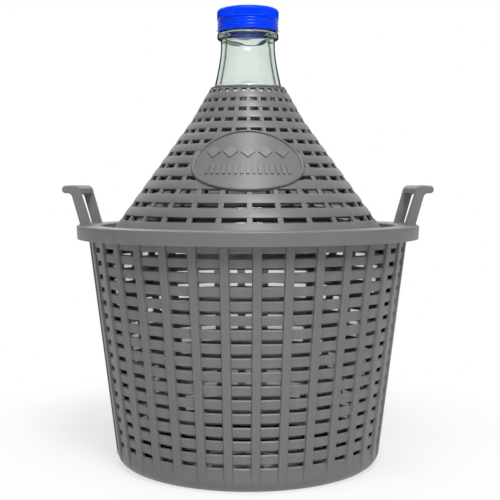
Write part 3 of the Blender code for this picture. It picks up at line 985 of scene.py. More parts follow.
    def add_legs(self, bm: bmesh.types.BMesh) -> None:
        """Draw the two legs down out of the grip's underside, with flared feet.

        Args:
            bm: the grip.
        """
        feet = []
        for face in bm.faces:
            middle = face.calc_center_median()
            if face.normal.z < LOOKS_DOWN and middle.x < self.outer_under and abs(middle.y) > self.gap:
                feet.append(face)
        for face in feet:
            for drop in (self.leg_height - self.flare_height, self.flare_height + self.sink):
                got = bmesh.ops.extrude_face_region(bm, geom=[face])
                face_verts = [item for item in got["geom"] if isinstance(item, bmesh.types.BMVert)]
                bmesh.ops.translate(bm, verts=face_verts, vec=(-self.lean * drop, 0.0, -drop))
                if face.is_valid:
                    bmesh.ops.delete(bm, geom=[face], context="FACES_ONLY")
                face = next(item for item in got["geom"] if isinstance(item, bmesh.types.BMFace))
            middle = sum((v.co for v in face.verts), Vector()) / len(face.verts)
            for vert in face.verts:
                away = vert.co - middle
                vert.co.x += math.copysign(self.flare_reach, away.x)
                vert.co.y += math.copysign(self.flare_reach, away.y)

    def round_handle(self, bm: bmesh.types.BMesh) -> None:
        """Round off the handle's edges, the large roundings first.

        Args:
            bm: the grip on its legs.
        """
        under, top = self.grip_under, self.grip_top

        def along_y(edge: bmesh.types.BMEdge, reach: float, height: float) -> bool:
            """Whether an edge runs along Y at a reach and height."""
            places = [vert.co for vert in edge.verts]
            return all(abs(p.x - reach) < SAME_PLACE and abs(p.z - height) < SAME_PLACE for p in places)

        def at_gap(edge: bmesh.types.BMEdge) -> bool:
            """Whether an edge runs under the grip along a side of the finger gap."""
            places = [vert.co for vert in edge.verts]
            return all(
                abs(p.z - under) < SAME_PLACE and abs(abs(p.y) - self.gap) < SAME_PLACE for p in places
            )

        tip_top = top - self.tip_droop
        tips = [e for e in bm.edges if along_y(e, self.tip, under) or along_y(e, self.tip, tip_top)]
        bevelled(bm, tips, self.tip_round, self.broad_steps)
        backs = [e for e in bm.edges if along_y(e, self.inner_top, top)]
        bevelled(bm, backs, self.back_round, self.broad_steps)
        throats = [e for e in bm.edges if at_gap(e) and e.calc_face_angle(0.0) > self.throat_turn]
        bevelled(bm, throats, self.throat_round, self.narrow_steps)
        crooks = [
            e for e in bm.edges
            if along_y(e, self.outer_under, under) and e.calc_face_angle(0.0) > self.crook_turn
        ]
        bevelled(bm, crooks, self.crook_round, self.narrow_steps)
        side = self.handle_half_width - SAME_PLACE
        ends = [e for e in sharp_edges(bm, self.sharp) if all(abs(v.co.y) > side for v in e.verts)]
        bevelled(bm, ends, self.end_round, self.narrow_steps)
        bevelled(bm, sharp_edges(bm, self.sharp), self.inner_round, self.fine_steps)

    def handle_mesh(self, side: int) -> bmesh.types.BMesh:
        """One handle: a grip with an outward flange on two leaning legs.

        Args:
            side: 1 for the right, -1 for the left.

        Returns:
            The closed mesh.
        """
        bm = self.grip()
        self.add_legs(bm)
        bmesh.ops.remove_doubles(bm, verts=bm.verts, dist=MERGE_DISTANCE)
        bm.normal_update()
        bmesh.ops.recalc_face_normals(bm, faces=bm.faces)
        self.round_handle(bm)
        if side < 0:
            half_turn = Matrix.Rotation(math.pi, 3, "Z")
            bmesh.ops.rotate(bm, verts=bm.verts, cent=(0, 0, 0), matrix=half_turn)
        bmesh.ops.remove_doubles(bm, verts=bm.verts, dist=MERGE_DISTANCE)
        bm.normal_update()
        bmesh.ops.recalc_face_normals(bm, faces=bm.faces)
        return bm

    def build(self, material: bpy.types.Material) -> list[bpy.types.Object]:
        """Build and dress the basket's pieces.

        Args:
            material: the basket's finish.

        Returns:
            The wall, the rim and the handles.
        """
        pieces = [
            finished("basket_wall", self.wall_mesh(), material, Body.BASKET, Slot.BASKET),
            finished("basket_rim", self.rim_mesh(), material, Body.BASKET, Slot.BASKET),
            finished("right_handle", self.handle_mesh(1), material, Body.BASKET, Slot.BASKET),
            finished("left_handle", self.handle_mesh(-1), material, Body.BASKET, Slot.BASKET),
        ]
        for piece in pieces:
            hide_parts("basket")
        return pieces


# Cover


@dataclass(frozen=True)
class MarkRow:
    """A row of equal raised marks on the plate.

    The digits are those of a mark's number in its name, the pitch is the step from mark to mark, and
    along is how far the row lies up the plate from its middle.
    """

    name: str
    count: int
    digits: int
    width: float
    length: float
    pitch: float
    along: float
    turn: float


LOZENGES = MarkRow("plate_lozenge", 5, 1, 0.0085, 0.0085, 0.0138, 0.0082, math.radians(45))
BARS = MarkRow("plate_bar", 15, 2, 0.0020, 0.0095, 0.0041, -0.0092, 0.0)


@dataclass
class Cover:
    """The shoulder cover: a slotted cone with a flange, a collar and an oval plate.

    The fillet, collar and mouth profiles are points out from a radius and down from a height, or up
    from it for the fillet. The plate's border is shares of its reach and depths under its top.
    """

    flange_radius: float = 0.1264
    flange_underside: float = 0.1980
    flange_top: float = 0.2005
    flange_bevel: float = 0.0005
    fillet: tuple[Point, ...] = ((0.0008, 0.0), (0.0001, 0.0003))
    fillet_top: float = 0.0012
    foot_radius: float = 0.1169
    knee_radius: float = 0.0480
    knee_height: float = 0.2951
    collar_radius: float = 0.0319
    top: float = 0.3232
    bore: float = 0.0293
    wall: float = 0.0026
    columns: int = 28
    rows: int = 12
    columns_per_rib: int = 8
    rib_angle: float = math.radians(0.7)
    foot_rib: float = 0.0046
    top_rib: float = 0.0033
    skirt: float = 0.0119
    collar_height: float = 0.0042
    collar_profile: tuple[Point, ...] = (
        (0.0008, 0.0021), (0.0, 0.0017), (0.0004, 0.0013), (0.0004, 0.0008), (0.0, 0.0002),
        (-0.0008, 0.0),
    )
    mouth_profile: tuple[Point, ...] = ((0.0006, 0.0), (0.0001, 0.0003), (0.0, 0.0010))
    crowding: float = 0.18
    slot_share: float = 0.36
    slot_draft: float = 0.00005
    rib_shoulder: float = 0.78
    rib_depth: float = 0.0002
    groove: float = 0.00025
    crown: float = 0.00015
    edge_round: float = 0.00028
    plate_middle: float = 0.0585
    plate_half_width: float = 0.0440
    plate_half_height: float = 0.0245
    plate_rise: float = 0.0022
    plate_field: float = 0.0007
    plate_sink: float = 0.0012
    plate_steps: int = 128
    field_shares: tuple[float, ...] = (0.0, 0.25, 0.5, 0.75, 0.92, 0.928)
    border: tuple[Point, ...] = (
        (0.936, 0.0006), (0.946, 0.0001), (0.960, 0.0), (0.974, 0.0001), (0.990, 0.0007),
        (1.0, 0.0015),
    )
    underside_shares: tuple[float, ...] = (1.0, 0.6, 0.0)
    mark_rise: float = 0.0014
    mark_root: float = 0.0006
    mark_round: float = 0.00022
    mark_steps: int = 2

    @property
    def slope(self) -> float:
        """The lean of the wall from upright."""
        return math.atan2(self.foot_radius - self.knee_radius, self.knee_height - self.flange_top)

    def radius_at(self, height: float) -> float:
        """Outer radius of the two cones that meet at the knee.

        Args:
            height: the height.

        Returns:
            The radius there.
        """
        if height < self.knee_height:
            share = (height - self.flange_top) / (self.knee_height - self.flange_top)
            return self.foot_radius + (self.knee_radius - self.foot_radius) * share
        share = (height - self.knee_height) / (self.top - self.knee_height)
        return self.knee_radius + (self.collar_radius - self.knee_radius) * share

    def row_height(self, row: int) -> float:
        """Middle height of a row of slots.

        Args:
            row: its number, from the bottom.

        Returns:
            The height.
        """
        share = row / (self.rows - 1)
        crowded = share * (1 + self.crowding) - self.crowding * share * share
        room = self.top - self.flange_top - self.skirt - self.collar_height
        return self.flange_top + self.skirt + room * crowded

    def slot_levels(self) -> list[Point]:
        """The rows of slots.

        Returns:
            The lower and upper edge of each row, bottom to top.
        """
        levels = []
        for row in range(self.rows):
            middle = self.row_height(row)
            half = abs(self.row_height(row + 1) - middle) * self.slot_share / 2
            levels.append((middle - half, middle + half))
        return levels

    def behind(self, height: float, depth: float) -> Point:
        """The (radius, height) that lies a depth behind the outer wall."""
        radius = self.radius_at(height)
        return radius - depth * math.cos(self.slope), height - depth * math.sin(self.slope)

    def half_angle(self, height: float) -> float:
        """Half the angle of a rib.

        Args:
            height: the height.

        Returns:
            The angle there, in radians.
        """
        share = (height - self.flange_top) / (self.top - self.flange_top)
        width = self.foot_rib + (self.top_rib - self.foot_rib) * share
        return width / 2 / self.radius_at(min(height, self.top))

    def sections(self) -> tuple[list[tuple[float, float, float, bool]], list[int], list[int]]:
        """The wall's section as stations.

        Returns:
            The stations as (radius, height, height that sets the ribs' angle, whether on a rib's
            face), and the stations below each row's slots outside and inside.
        """
        under, top, rim = self.flange_underside, self.flange_top, self.flange_radius
        bevel = self.flange_bevel
        start = [(rim - bevel, under), (rim, under + bevel), (rim, top - bevel), (rim - bevel, top)]
        start += [(self.foot_radius + out, top + up) for out, up in self.fillet]
        stations = [(radius, height, top, False) for radius, height in start]
        levels = self.slot_levels()
        stations.append((*self.behind(top + self.fillet_top, 0.0), top, False))
        stations.append((*self.behind((top + levels[0][0]) / 2, 0.0), top, False))
        outer: list[int] = []
        edge, draft = self.edge_round, self.slot_draft
        for row, (low, high) in enumerate(levels):
            stations.append((*self.behind(low - edge, 0.0), low, False))
            stations.append((*self.behind(low, edge), low, False))
            stations.append((*self.behind(low + draft, self.rib_depth), low, True))
            outer.append(len(stations) - 1)
            stations.append((*self.behind(high - draft, self.rib_depth), high, True))
            stations.append((*self.behind(high, edge), high, False))
            stations.append((*self.behind(high + edge, 0.0), high, False))
            if row < self.rows - 1:
                middle = (high + levels[row + 1][0]) / 2
                stations.append((*self.behind(middle, -self.crown), middle, False))
        collar = [(self.collar_radius + out, self.top - down) for out, down in self.collar_profile]
        collar += [(self.bore + out, self.top - down) for out, down in self.mouth_profile]
        stations += [(radius, height, self.top, False) for radius, height in collar]
        inner: list[int] = []
        for low, high in reversed(levels):
            stations.append((*self.behind(high, self.wall), high, False))
            inner.append(len(stations) - 1)
            stations.append((*self.behind(low, self.wall), low, False))
        radius, height = self.behind(self.flange_top, self.wall)
        drop = height - self.flange_underside
        stations.append((radius + drop * math.tan(self.slope), under, self.flange_top, False))
        stations.append(stations[0])
        inner.reverse()
        return stations, outer, inner

    def lattice_mesh(self) -> bmesh.types.BMesh:
        """The slotted cone with its flange and collar.

        Returns:
            The closed mesh.
        """
        stations, outer, inner = self.sections()
        per_rib = self.columns_per_rib
        step = math.tau / self.columns
        edge, shoulder = self.edge_round, self.rib_shoulder
        on_ribs = {
            0: (0.0, 0.0, self.groove), 1: (0.0, shoulder, 0.0), 2: (0.0, 1.0, edge),
            6: (step, -1.0, edge), 7: (step, -shoulder, 0.0),
        }

        def place(column: int, station: int) -> Vector:
            """A vertex of the cover: on a rib or between two.

            Args:
                column: its number round the cone. In each rib's eight, 0 to 2 lie on the rib, 3 to 5
                    between two ribs, and 6 and 7 on the next rib.
                station: its number along the section.

            Returns:
                Its place.
            """
            rib, kind = divmod(column, per_rib)
            radius, height, level, on_rib = stations[station]
            half = self.half_angle(level)
            depth = edge
            if kind in on_ribs:
                middle, share, depth = on_ribs[kind]
                angle = middle + half * share
            else:
                angle = half + (step - 2 * half) * (kind - 2) / 4
            if on_rib:
                radius -= depth * math.cos(self.slope)
                height -= depth * math.sin(self.slope)
            return turned_to(radius, self.rib_angle + rib * step + angle, height)

        wall = WrappedWall(per_rib * self.columns, len(stations), place)
        slots = []
        for low_outer, low_inner in zip(outer, inner):
            for rib in range(self.columns):
                across = [per_rib * rib + kind for kind in range(2, 6)]
                slots.append(([(c, low_outer) for c in across], [(c, low_inner) for c in across]))
        wall.cut_slots(slots)
        return wall.close()

    def on_plate(self, across: float, along: float, rise: float) -> Vector:
        """A place over the plate's middle.

        Args:
            across: metres round the cone.
            along: metres up the slope.
            rise: metres out of the wall.

        Returns:
            The place.
        """
        middle = self.flange_top + self.plate_middle
        height = middle + along * math.cos(self.slope)
        reach = math.asin(self.plate_half_width / self.radius_at(middle))
        angle = across / self.plate_half_width * reach
        radius = self.radius_at(height) + rise * math.cos(self.slope)
        return turned_to(radius, angle, height + rise * math.sin(self.slope))

    def plate_mesh(self) -> bmesh.types.BMesh:
        """The oval plate with its raised border.

        Returns:
            The closed mesh.
        """
        rings = [(share, self.plate_field) for share in self.field_shares]
        rings += [(share, self.plate_rise - down) for share, down in self.border]
        rings += [(share, -self.plate_sink) for share in self.underside_shares]
        half_up = self.plate_half_height / math.cos(self.slope)

        def place(column: int, station: int) -> Vector:
            """A vertex of the plate.

            Args:
                column: its number round the plate.
                station: its ring.

            Returns:
                Its place.
            """
            share, rise = rings[station]
            turn = math.tau * column / self.plate_steps
            across = self.plate_half_width * share * math.sin(turn)
            return self.on_plate(across, half_up * share * math.cos(turn), rise)

        return WrappedWall(self.plate_steps, len(rings), place).close()

    def mark_mesh(self, row: MarkRow, number: int) -> bmesh.types.BMesh:
        """One raised mark on the plate.

        Args:
            row: the row that it stands in.
            number: its number in the row, from 0 on the left.

        Returns:
            The closed mesh.
        """
        across = row.pitch * (number - row.count // 2)
        bm = bmesh.new()
        bmesh.ops.create_cube(bm, size=1.0)
        size = (row.width, row.length, self.mark_rise + self.mark_root)
        bmesh.ops.scale(bm, vec=size, verts=bm.verts)
        bevelled(bm, bm.edges[:], self.mark_round, self.mark_steps)
        turn = Matrix.Rotation(row.turn, 3, "Z")
        bmesh.ops.rotate(bm, verts=bm.verts, cent=(0, 0, 0), matrix=turn)
        for vert in bm.verts:
            rise = self.plate_field + vert.co.z
            vert.co = self.on_plate(vert.co.x + across, vert.co.y + row.along, rise)
        bm.normal_update()
        bmesh.ops.recalc_face_normals(bm, faces=bm.faces)
        return bm

    def build(self, material: bpy.types.Material) -> list[bpy.types.Object]:
        """Build and dress the cover's pieces.

        Args:
            material: the cover's finish.

        Returns:
            The lattice, the plate and the plate's raised marks.
        """
        pieces = [
            finished("cover_lattice", self.lattice_mesh(), material, Body.COVER, Slot.COVER),
            finished("oval_plate", self.plate_mesh(), material, Body.COVER, Slot.COVER),
        ]
        for row in (LOZENGES, BARS):
            for number in range(row.count):
                name = f"{row.name}_{number + 1:0{row.digits}d}"
                mark = self.mark_mesh(row, number)
                pieces.append(finished(name, mark, material, Body.COVER, Slot.COVER))
        for piece in pieces:
            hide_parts("shoulder_cover")
        return pieces


# Bottle, cap and liner


@dataclass(frozen=True)
class Thread:
    """A right-handed screw thread on a round wall: the crest stands out from the wall or into it."""

    pitch: float
    start: float
    turns: float
    root: float
    crest: float
    phase: float
    run_out: float = 0.15
    ridge_foot: float = 0.45
    ridge_top: float = 0.85

    def radius(self, angle: float, height: float) -> float:
        """The threaded wall's radius.

        Args:
            angle: the angle from the front.
            height: the height.

        Returns:
            The radius there.
        """
        along = (height - self.start) / self.pitch - angle / math.tau
        fade_in = smoothstep(along, 0.0, self.run_out)
        fade_out = smoothstep(along, self.turns - self.run_out, self.turns)
        across = abs(((along - self.phase) % 1.0) - 0.5) * 2
        ridge = smoothstep(across, self.ridge_foot, self.ridge_top)
        return self.root + (self.crest - self.root) * ridge * (fade_in * (1 - fade_out))


@dataclass
class Bottle:
    """The glass bottle: punt, heel, body, shoulder, neck, bead and screw finish.

    Its profiles are (radius, height) points from the punt up the outside to the mouth, and from the
    lip down the inside. A third number is the rounding of a corner. Turns are in degrees from
    straight outwards. A ripple's wave is its count round the neck, its depth and its start.
    """

    steps: int = 144
    punt: tuple[Point, ...] = (
        (0.0, 0.0098), (0.0200, 0.0094), (0.04185, 0.0080), (0.0640, 0.0056), (0.0800, 0.0042),
        (0.0860, 0.0038), (0.0920, 0.0038),
    )
    heel_centre: Point = (0.0957, 0.0188)
    heel: float = 0.0150
    heel_turn: Point = (-88, -2)
    heel_steps: int = 10
    body: Point = (0.1107, 0.0188)
    shoulder_start: Point = (0.1257, 0.1682)
    shoulder_centre: Point = (0.0807, 0.1682)
    shoulder: float = 0.0450
    shoulder_turn: Point = (2, 36)
    arc_steps: int = 8
    shoulder_end: Point = (0.11707, 0.1947)
    knee: Point = (0.04422, 0.2951)
    collar: Point = (0.0289, 0.3232)
    long_step: float = 0.020
    short_step: float = 0.012
    neck_radius: float = 0.0232
    neck_wall: float = 0.0040
    flare_foot: float = 0.3232
    flare_top: float = 0.3560
    flare_bend: float = 1.4
    flare_steps: int = 30
    bead: tuple[Corner, ...] = (
        (0.0232, 0.3622, 0.0), (0.0232, 0.3632, 0.0008), (0.0263, 0.3638, 0.0024),
        (0.0263, 0.3691, 0.0026), (0.0234, 0.3693, 0.0006), (0.0234, 0.3703, 0.0),
    )
    bead_steps: int = 5
    finish_low: float = 0.3706
    finish_high: float = 0.3852
    finish_steps: int = 44
    thread: Thread = Thread(0.0040, 0.3710, 3.4, 0.0234, 0.0242, 0.0)
    lip: tuple[Point, ...] = (
        (0.0232, 0.3859), (0.0225, 0.3864), (0.0208, 0.3864), (0.0200, 0.3860), (0.0198, 0.3853),
    )
    bore_foot: Point = (0.0198, 0.3800)
    bore_step: float = 0.0013
    inner_collar: Point = (0.0255, 0.3232)
    inner_knee: Point = (0.04113, 0.2951)
    inner_shoulder_end: Point = (0.11505, 0.1932)
    inner_shoulder: float = 0.0425
    inner_shoulder_turn: Point = (34, 2)
    inner_shoulder_start: Point = (0.1232, 0.1682)
    inner_body: Point = (0.1082, 0.0208)
    inner_heel_centre: Point = (0.0957, 0.0208)
    inner_heel: float = 0.0125
    inner_heel_turn: Point = (-2, -88)
    inner_punt: tuple[Point, ...] = (
        (0.0837, 0.0083), (0.0640, 0.0103), (0.04185, 0.0125), (0.0200, 0.0139), (0.0, 0.0143),
    )
    ripple: float = 0.00025
    ripple_low: float = 0.3560
    ripple_high: float = 0.3640
    ripple_waves: tuple[Corner, ...] = ((2, 1.0, 0.0), (5, 0.7, 1.3))
    sharp: float = 60.0

    def arc(self, centre: Point, bend: float, turn: Point, steps: int) -> list[Point]:
        """Points on an arc.

        Args:
            centre: its centre.
            bend: its radius.
            turn: the angles of its start and end, in degrees from straight outwards.
            steps: the points on it, less one.

        Returns:
            The points.
        """
        start, end = turn
        turns = [math.radians(start + (end - start) * step / steps) for step in range(steps + 1)]
        return [(centre[0] + bend * math.cos(t), centre[1] + bend * math.sin(t)) for t in turns]

    def flare(self, wall: float) -> list[Point]:
        """The neck's flare from its foot to its straight part.

        Args:
            wall: how far inside the outer wall it lies.

        Returns:
            The points.
        """
        rise = self.flare_top - self.flare_foot
        points = []
        for step in range(self.flare_steps + 1):
            share = 1 - step / self.flare_steps
            widening = (self.collar[0] - self.neck_radius) * share ** self.flare_bend
            points.append((self.neck_radius + widening - wall, self.flare_foot + rise * (1 - share)))
        return points

    def outside(self) -> list[Point]:
        """The outer outline.

        Returns:
            Its points, from the axis up to the mouth.
        """
        points = list(self.punt)
        points += self.arc(self.heel_centre, self.heel, self.heel_turn, self.heel_steps)
        points += refined([self.body, self.shoulder_start], self.long_step)[1:]
        points += self.arc(self.shoulder_centre, self.shoulder, self.shoulder_turn, self.arc_steps)
        points += refined([self.shoulder_end, self.knee], self.long_step)[1:]
        points += refined([self.knee, self.collar], self.short_step)[1:-1]
        points += self.flare(0.0)
        points += rounded(self.bead, self.bead_steps)
        rise = self.finish_high - self.finish_low
        for step in range(self.finish_steps + 1):
            points.append((self.thread.root, self.finish_low + rise * step / self.finish_steps))
        return points

    def inside(self) -> list[Point]:
        """The inner outline.

        Returns:
            Its points, from the mouth down to the axis.
        """
        neck = (self.neck_radius - self.neck_wall, self.flare_top)
        points = list(self.lip)
        points += refined([self.lip[-1], self.bore_foot, neck], self.bore_step)[1:-1]
        points += reversed(self.flare(self.neck_wall))
        points += refined([self.inner_collar, self.inner_knee], self.short_step)[1:]
        points += refined([self.inner_knee, self.inner_shoulder_end], self.long_step)[1:]
        turn = self.inner_shoulder_turn
        points += self.arc(self.shoulder_centre, self.inner_shoulder, turn, self.arc_steps)
        points += refined([self.inner_shoulder_start, self.inner_body], self.long_step)[1:]
        turn = self.inner_heel_turn
        points += self.arc(self.inner_heel_centre, self.inner_heel, turn, self.arc_steps)
        points += self.inner_punt
        return points

    def mesh(self) -> bmesh.types.BMesh:
        """The bottle.

        Returns:
            The closed mesh, hollow and open at the mouth.
        """
        outer = self.outside()
        outline = outer + self.inside()

        def place(column: int, station: int) -> Vector:
            """A vertex of the glass: in the thread, in the neck's waves or elsewhere.

            Args:
                column: its number round the bottle.
                station: its number along the outline.

            Returns:
                Its place.
            """
            radius, height = outline[station]
            angle = math.tau * column / self.steps
            if station < len(outer) and height >= self.finish_low:
                radius = self.thread.radius(angle, height)
            elif station >= len(outer) and self.ripple_low < height < self.ripple_high:
                share = (height - self.ripple_low) / (self.ripple_high - self.ripple_low)
                wave = sum(
                    depth * math.sin(count * angle + start) for count, depth, start in self.ripple_waves
                )
                radius -= self.ripple * math.sin(math.pi * share) * (1 + wave / 2)
            return turned_to(radius, angle, height)

        return WrappedWall(self.steps, len(outline), place).close()

    def build(self, material: bpy.types.Material) -> list[bpy.types.Object]:
        """Build and dress the bottle.

        Args:
            material: the glass.

        Returns:
            The bottle alone in a list.
        """
        bottle = finished("bottle", self.mesh(), material, Body.BOTTLE, Slot.GLASS, self.sharp)
        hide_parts("glass_bottle")
        return [bottle]


@dataclass
class ScrewCap:
    """The screw cap: knurled grip, banded skirt and threaded bore.

    Its profiles are (radius, height) points. A third number is the rounding of a corner.
    """

    top_profile: tuple[Point, ...] = (
        (0.0, 0.3897), (0.0170, 0.3897), (0.0180, 0.3900), (0.0190, 0.3901),
    )
    edge: tuple[Corner, ...] = ((0.0, 0.3901, 0.0), (0.0265, 0.3901, 0.0036), (0.0265, 0.3815, 0.0))
    edge_steps: int = 7
    grip_profile: tuple[Point, ...] = (
        (0.0265, 0.3862), (0.0265, 0.3850), (0.0265, 0.3828), (0.0265, 0.3818),
    )
    ledge: tuple[Corner, ...] = (
        (0.0265, 0.3813, 0.0), (0.0265, 0.3808, 0.0004), (0.0258, 0.3804, 0.0002),
    )
    knurls: int = 120
    steps_per_knurl: int = 4
    knurl_depth: float = 0.00045
    knurl_low: float = 0.3815
    knurl_fade: float = 0.3859
    knurl_high: float = 0.3895
    knurl_reach: float = 0.0246
    bands: int = 3
    steps_per_band: int = 8
    band_radius: float = 0.0258
    band_depth: float = 0.00035
    band_low: float = 0.3726
    band_high: float = 0.3804
    foot: tuple[Corner, ...] = (
        (0.0258, 0.3724, 0.0), (0.0265, 0.3720, 0.0005), (0.0265, 0.3705, 0.0007),
        (0.0247, 0.3705, 0.0003), (0.0245, 0.3712, 0.0),
    )
    corner_steps: int = 3
    bore_low: float = 0.3716
    bore_high: float = 0.3878
    bore_steps: int = 44
    thread: Thread = Thread(0.0040, 0.3722, 3.2, 0.0245, 0.0237, 0.5)
    ceiling: tuple[Point, ...] = ((0.0244, 0.3884), (0.0242, 0.3886), (0.0, 0.3886))
    sharp: float = 50.0

    def outline(self) -> tuple[list[Point], int, int]:
        """The section from the top's middle, down the outside and up the bore.

        Returns:
            The outline, and the first and last number of its points in the bore.
        """
        points = list(self.top_profile)
        points += rounded(self.edge, self.edge_steps)[1:-1]
        points += self.grip_profile
        points += rounded(self.ledge, self.corner_steps)
        steps = self.steps_per_band * self.bands
        fall = (self.band_high - self.band_low) / steps
        for step in range(steps + 1):
            swell = self.band_depth * (1 - math.cos(math.tau * step / self.steps_per_band)) / 2
            points.append((self.band_radius + swell, self.band_high - step * fall))
        points += rounded(self.foot, self.corner_steps)
        first = len(points)
        rise = self.bore_high - self.bore_low
        for step in range(self.bore_steps + 1):
            points.append((self.thread.root, self.bore_low + rise * step / self.bore_steps))
        last = len(points) - 1
        points += self.ceiling
        return points, first, last

    def mesh(self) -> bmesh.types.BMesh:
        """The cap.

        Returns:
            The closed mesh, open below.
        """
        outline, first, last = self.outline()
        steps = self.knurls * self.steps_per_knurl

        def place(column: int, station: int) -> Vector:
            """A vertex of the cap: in the knurled band, in the bore or elsewhere.

            Args:
                column: its number round the cap.
                station: its number along the outline.

            Returns:
                Its place.
            """
            radius, height = outline[station]
            angle = math.tau * column / steps
            if first <= station <= last:
                radius = self.thread.radius(angle, height)
            elif self.knurl_low < height < self.knurl_high and radius > self.knurl_reach:
                share = column % self.steps_per_knurl / self.steps_per_knurl
                fade = 1 - smoothstep(height, self.knurl_fade, self.knurl_high)
                radius -= self.knurl_depth * fade * (1 - math.cos(math.tau * share)) / 2
            return turned_to(radius, angle, height)

        return WrappedWall(steps, len(outline), place).close()

    def build(self, material: bpy.types.Material) -> list[bpy.types.Object]:
        """Build and dress the cap.

        Args:
            material: the cap's finish.

        Returns:
            The cap alone in a list.
        """
        cap = finished("cap_shell", self.mesh(), material, Body.CAP, Slot.CAP, self.sharp)
        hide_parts("screw_cap")
        return [cap]


@dataclass
class CapLiner:
    """The sealing disc that lies in the cap."""

    underside: tuple[Point, ...] = ((0.0, 0.3867), (0.0192, 0.3867))
    edge: tuple[Corner, ...] = (
        (0.0202, 0.3870, 0.0), (0.0206, 0.3867, 0.0), (0.0242, 0.3867, 0.0004),
        (0.0242, 0.3883, 0.0004), (0.0, 0.3883, 0.0),
    )
    edge_steps: int = 3
    steps: int = 120

    def build(self, material: bpy.types.Material) -> list[bpy.types.Object]:
        """Build and dress the disc.

        Args:
            material: the liner's finish.

        Returns:
            The disc alone in a list.
        """
        outline = list(self.underside) + rounded(self.edge, self.edge_steps)
        disc = finished("sealing_disc", lathe(outline, self.steps), material, Body.LINER, Slot.LINER)
        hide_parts("cap_liner")
        return [disc]


# Studio


@dataclass(frozen=True)
class Lamp:
    """A soft lamp: its place, its size in metres and its power in watts."""

    name: str
    place: Corner
    width: float
    height: float
    power: float


KEY_LAMP = Lamp("key_lamp", (0.28, -1.30, 1.75), 0.60, 0.60, 28.5)
BACK_LAMP = Lamp("back_lamp", (-0.50, 1.30, 1.60), 0.80, 0.80, 9.0)
TOP_LAMP = Lamp("top_lamp", (0.02, -0.55, 1.75), 0.50, 0.50, 6.5)
GLINT_LAMP = Lamp("glint_lamp", (-0.03, -1.30, 0.75), 0.70, 0.10, 0.85)


